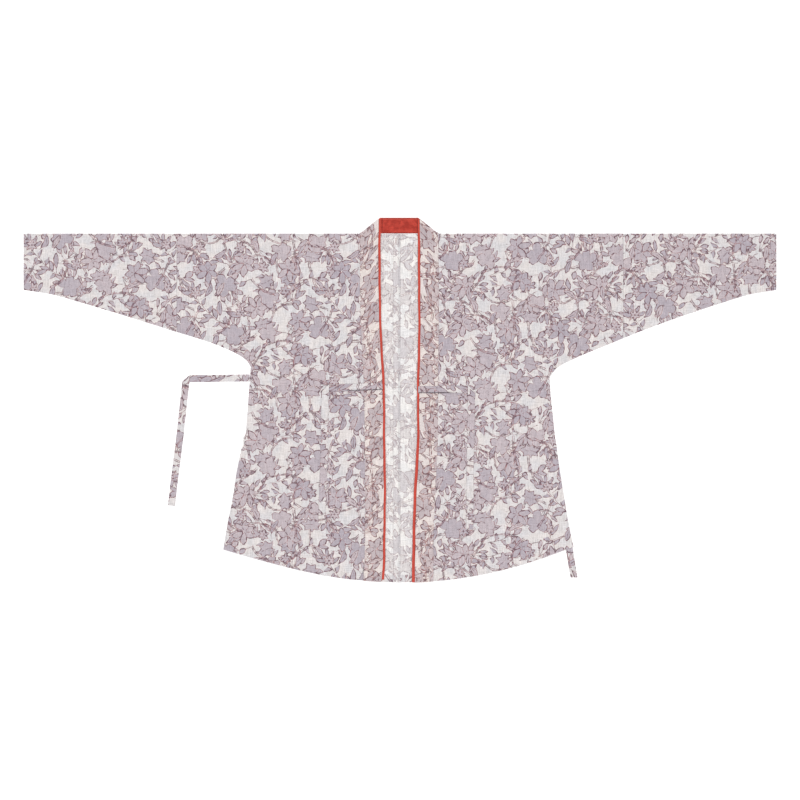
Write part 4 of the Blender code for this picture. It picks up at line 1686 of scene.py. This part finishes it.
def doubled(place):
    """More of a grey tint within 5 mm of the centre turnings' seam, and a trace of it elsewhere."""
    across, _, _ = apart(place)
    return (1 - eased_step(across, DARKER_TO - 0.0012, DARKER_TO + 0.0012)) * 0.19 + 0.01


def painted_tie_shadow(place):
    """Painted shadow: a dark line along a front tie's lower fold, near its root."""
    across, _, _ = apart(place)
    near_fold = eased_step(across, TIE_LOWER_FOLD - 0.0034, TIE_LOWER_FOLD - 0.0018)
    near_root = 1 - eased_step(abs(apart(object_place(place.tree))[0]), 0.112, 0.140)
    # Noise breaks up the painted shadow along the fold.
    pressed = eased_step(soft_noise(place, 260.0)[0], 0.30, 0.60) * 0.35 + 0.50
    return near_fold * near_root * pressed


# %% Red cotton
NECK_MIDDLE = SHOULDER_Y + 0.0190
NECK_HALF = (0.0424, 0.0172)
PIPING_CUT = COLLAR_CUT[0] + COLLAR_WIDTH


def red_finish(name, pale, deep, piping_highlight):
    """Red cotton, a little uneven. The piping has a painted highlight, and a painted shadow frames
    the neck.
    """
    material, shader, place = new_finish(name)
    dye, _ = soft_noise(place, 60.0, 3.0)
    colour = mixed_colour(eased_step(dye, 0.3, 0.7), pale, deep)
    # Painted highlight: the piping is mixed towards a lighter red, as if light caught its round
    # edge.
    at_piping = eased_step(apart(place)[0], PIPING_CUT - 0.001, PIPING_CUT + 0.002)
    colour = mixed_colour(at_piping * 0.85, colour, piping_highlight)
    # Painted shadow: a dark red line round the back-neck facing, along its top, bottom and sides.
    x, y, _ = apart(object_place(place.tree))
    to_edge = (abs(x) - NECK_HALF[0]).most(abs(y - NECK_MIDDLE) - NECK_HALF[1])
    neck_shadow = 1 - eased_step(abs(to_edge), 0.0003, 0.0013)
    colour = mixed_colour(neck_shadow * 0.60, colour, srgb(96, 24, 20))
    cotton_surface(shader, place, colour, 0.80)
    return material


# %% The finishes of this jacket
printed_cloth = printed_finish("printed_cotton", PRINTED)
collar_cloth = printed_finish("collar_cotton", COLLAR)
wrong_side = printed_finish("cotton_wrong_side", WRONG_SIDE)
# The centre turnings show the wrong side, darker with a grey tint near their seam.
turning_finish = printed_finish("cotton_turning_inside", WRONG_SIDE, srgb(128, 126, 134), doubled)
# The front ties' cotton carries a painted shadow in dark grey along their lower fold.
tie_cloth = printed_finish("tie_cotton", PRINTED, srgb(74, 66, 74), painted_tie_shadow)
# The red cotton's third colour is the piping's painted highlight.
red_cloth = red_finish("red_cotton", srgb(192, 67, 54), srgb(164, 50, 39), srgb(200, 77, 63))


# %% Sewing thread
def thread_finish(name, colour, shadow):
    """Spun thread: fine turns across it, on Object coordinates, because stitches have no cut."""
    material, tree, shader = new_material(name)
    spun = add_node(tree, "ShaderNodeTexNoise", {}, object_place(tree), None, 2500.0, 1.0)
    twist = Field(tree, spun.outputs["Fac"])
    spun_colour = mixed_colour(eased_step(twist, 0.35, 0.65), colour, shadow)
    feed(tree, spun_colour, shader.inputs["Base Color"])
    raise_face(shader, twist, 0.4, 0.00008)
    set_values(shader, {"Roughness": 0.6, "Sheen Weight": 0.1})
    return material


pale_thread = thread_finish("pale_thread", srgb(206, 194, 196), srgb(176, 160, 164))
red_thread = thread_finish("red_thread", srgb(150, 46, 40), srgb(118, 34, 30))
print("Finishes:", [material.name for material in bpy.data.materials])

# %% [markdown]
# ## Dressing the model
# Each sheet takes the outer finish on its right side and the wrong side's finish within.
# It stands for its CAD node, which stays hidden for collisions, and it rides on the one
# body.

# %% Finishes, nodes and cuts
def dress(piece, outside, inside, node=None):
    piece.data.materials[0] = outside
    piece.data.materials[1] = inside
    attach(piece, "root")
    if node is not None:
        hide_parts(node)


def declare(piece, width, length, with_pieces=()):
    """States the sheet's cut."""
    print(piece.name, "cut", round(width, 3), "by", round(length, 3), "m")


def sew_on(name, thread):
    """Gives a seam's stitches their thread, and lets them ride with the jacket."""
    piece = stitches[name]
    piece.data.materials.append(thread)
    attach(piece, "root")
    return [piece]


# %% The body and sleeves
for hand in HANDS:
    body, sleeve, turning = bodies[hand], sleeves[hand], hem_turnings[hand]
    dress(body, printed_cloth, wrong_side, f"body_{hand}")
    dress(sleeve, printed_cloth, wrong_side, f"sleeve_{hand}")
    dress(turning, printed_cloth, wrong_side)
    long_way = HEM[hand, "front"][1].max() + HEM[hand, "back"][1].max()
    deep = 2 * underarm(hand, "front", SLEEVE_SEAM + SEAM_GAP)
    turned_up = side_corner(hand, "back")[0] * 1.02
    for piece, width, length, lies_on, seam in (
        (body, SLEEVE_SEAM, long_way, "floor", "hem"),
        (sleeve, FLAT_CUFF - SLEEVE_SEAM, deep, "floor", "cuff"),
        (turning, HEM_TURNING, turned_up, body, "turning"),
    ):
        sewn = sew_on(f"{seam}_{hand}", pale_thread)
        declare(piece, width, length, sewn)

# %% The collar, the centre turnings and the ties
dress(collar_band, collar_cloth, wrong_side, "collar_band")
declare(collar_band, COLLAR_WIDTH, band_length)
dress(collar_facing, red_cloth, red_cloth, "collar_facing")
facing_width = COLLAR_WIDTH + PIPING - FACING_START
sewn = sew_on("facing", red_thread)
declare(collar_facing, facing_width, facing_length, sewn)
dress(centre_turning, turning_finish, turning_finish, "centre_seam_allowance")
turning_width = ALLOWANCE_WIDTH + ALLOWANCE_IN_SEAM
declare(centre_turning, turning_width, BACK_LENGTH)
for name, tie in ties.items():
    cloth = tie_cloth if name.startswith("tie_front") else printed_cloth
    dress(tie, cloth, cloth, name)
    lies_on = "floor" if name.startswith("tie_side") else bodies[name.split("_")[-1]]
    declare(tie, TIE_WIDTH, tie_lengths[name], sew_on(name, pale_thread))

# %% [markdown]
# ## Floor, light and camera
# The jacket lies on a white board between two large soft lights of the same power, as for
# a catalogue. The board glows a little, like a light table, so no shadow edges the cloth.
# The camera looks straight down. Its distance and lens show as much floor as the photo.

# %% Stage
bpy.ops.object.select_all(action="DESELECT")
bpy.ops.mesh.primitive_plane_add(size=12.0, location=(0, 0, -0.0004))
floor = bpy.context.object
floor.name = "floor"
board, board_tree, board_shader = new_material("white_board")
grain, _ = soft_noise(object_place(board_tree), 3.0, 3.0)
board_colour = mixed_colour(grain, srgb(250, 250, 250), srgb(248, 248, 248))
feed(board_tree, board_colour, board_shader.inputs["Base Color"])
set_values(board_shader, {
    "Roughness": 0.95,
    "Specular IOR Level": 0.0,
    "Emission Color": (1, 1, 1, 1),
    "Emission Strength": 0.25,
})
floor.data.materials.append(board)

# %% Camera
VIEW_WIDTH = 1.9149
LENS = 85
SENSOR = 36
camera_data = bpy.data.cameras.new("camera")
camera_data.lens = LENS
camera_data.sensor_width = SENSOR
camera = put_in_scene("camera", camera_data)
camera.location = (0, 0, VIEW_WIDTH * LENS / SENSOR)
bpy.context.scene.camera = camera
print("Camera", round(camera.location.z, 3), "m above the floor")


# %% Lights
def softbox(name, place, size, power):
    """A large square light that faces the middle of the jacket."""
    light = bpy.data.lights.new(name, "AREA")
    light.size = size
    light.energy = power
    lamp = put_in_scene(name, light)
    lamp.location = place
    lamp.rotation_euler = (-Vector(place)).to_track_quat("-Z", "Y").to_euler()


softbox("main_softbox", (-1.5, 1.4, 3.8), 2.0, 60)
softbox("fill_softbox", (1.6, -1.4, 3.8), 2.6, 60)
world = bpy.data.worlds.new("studio")
world.use_nodes = True
set_values(world.node_tree.nodes["Background"], {"Color": (1, 1, 1, 1), "Strength": 0.60})
bpy.context.scene.world = world
bpy.context.scene.view_settings.view_transform = "Standard"
print("Two softboxes and an even white world")
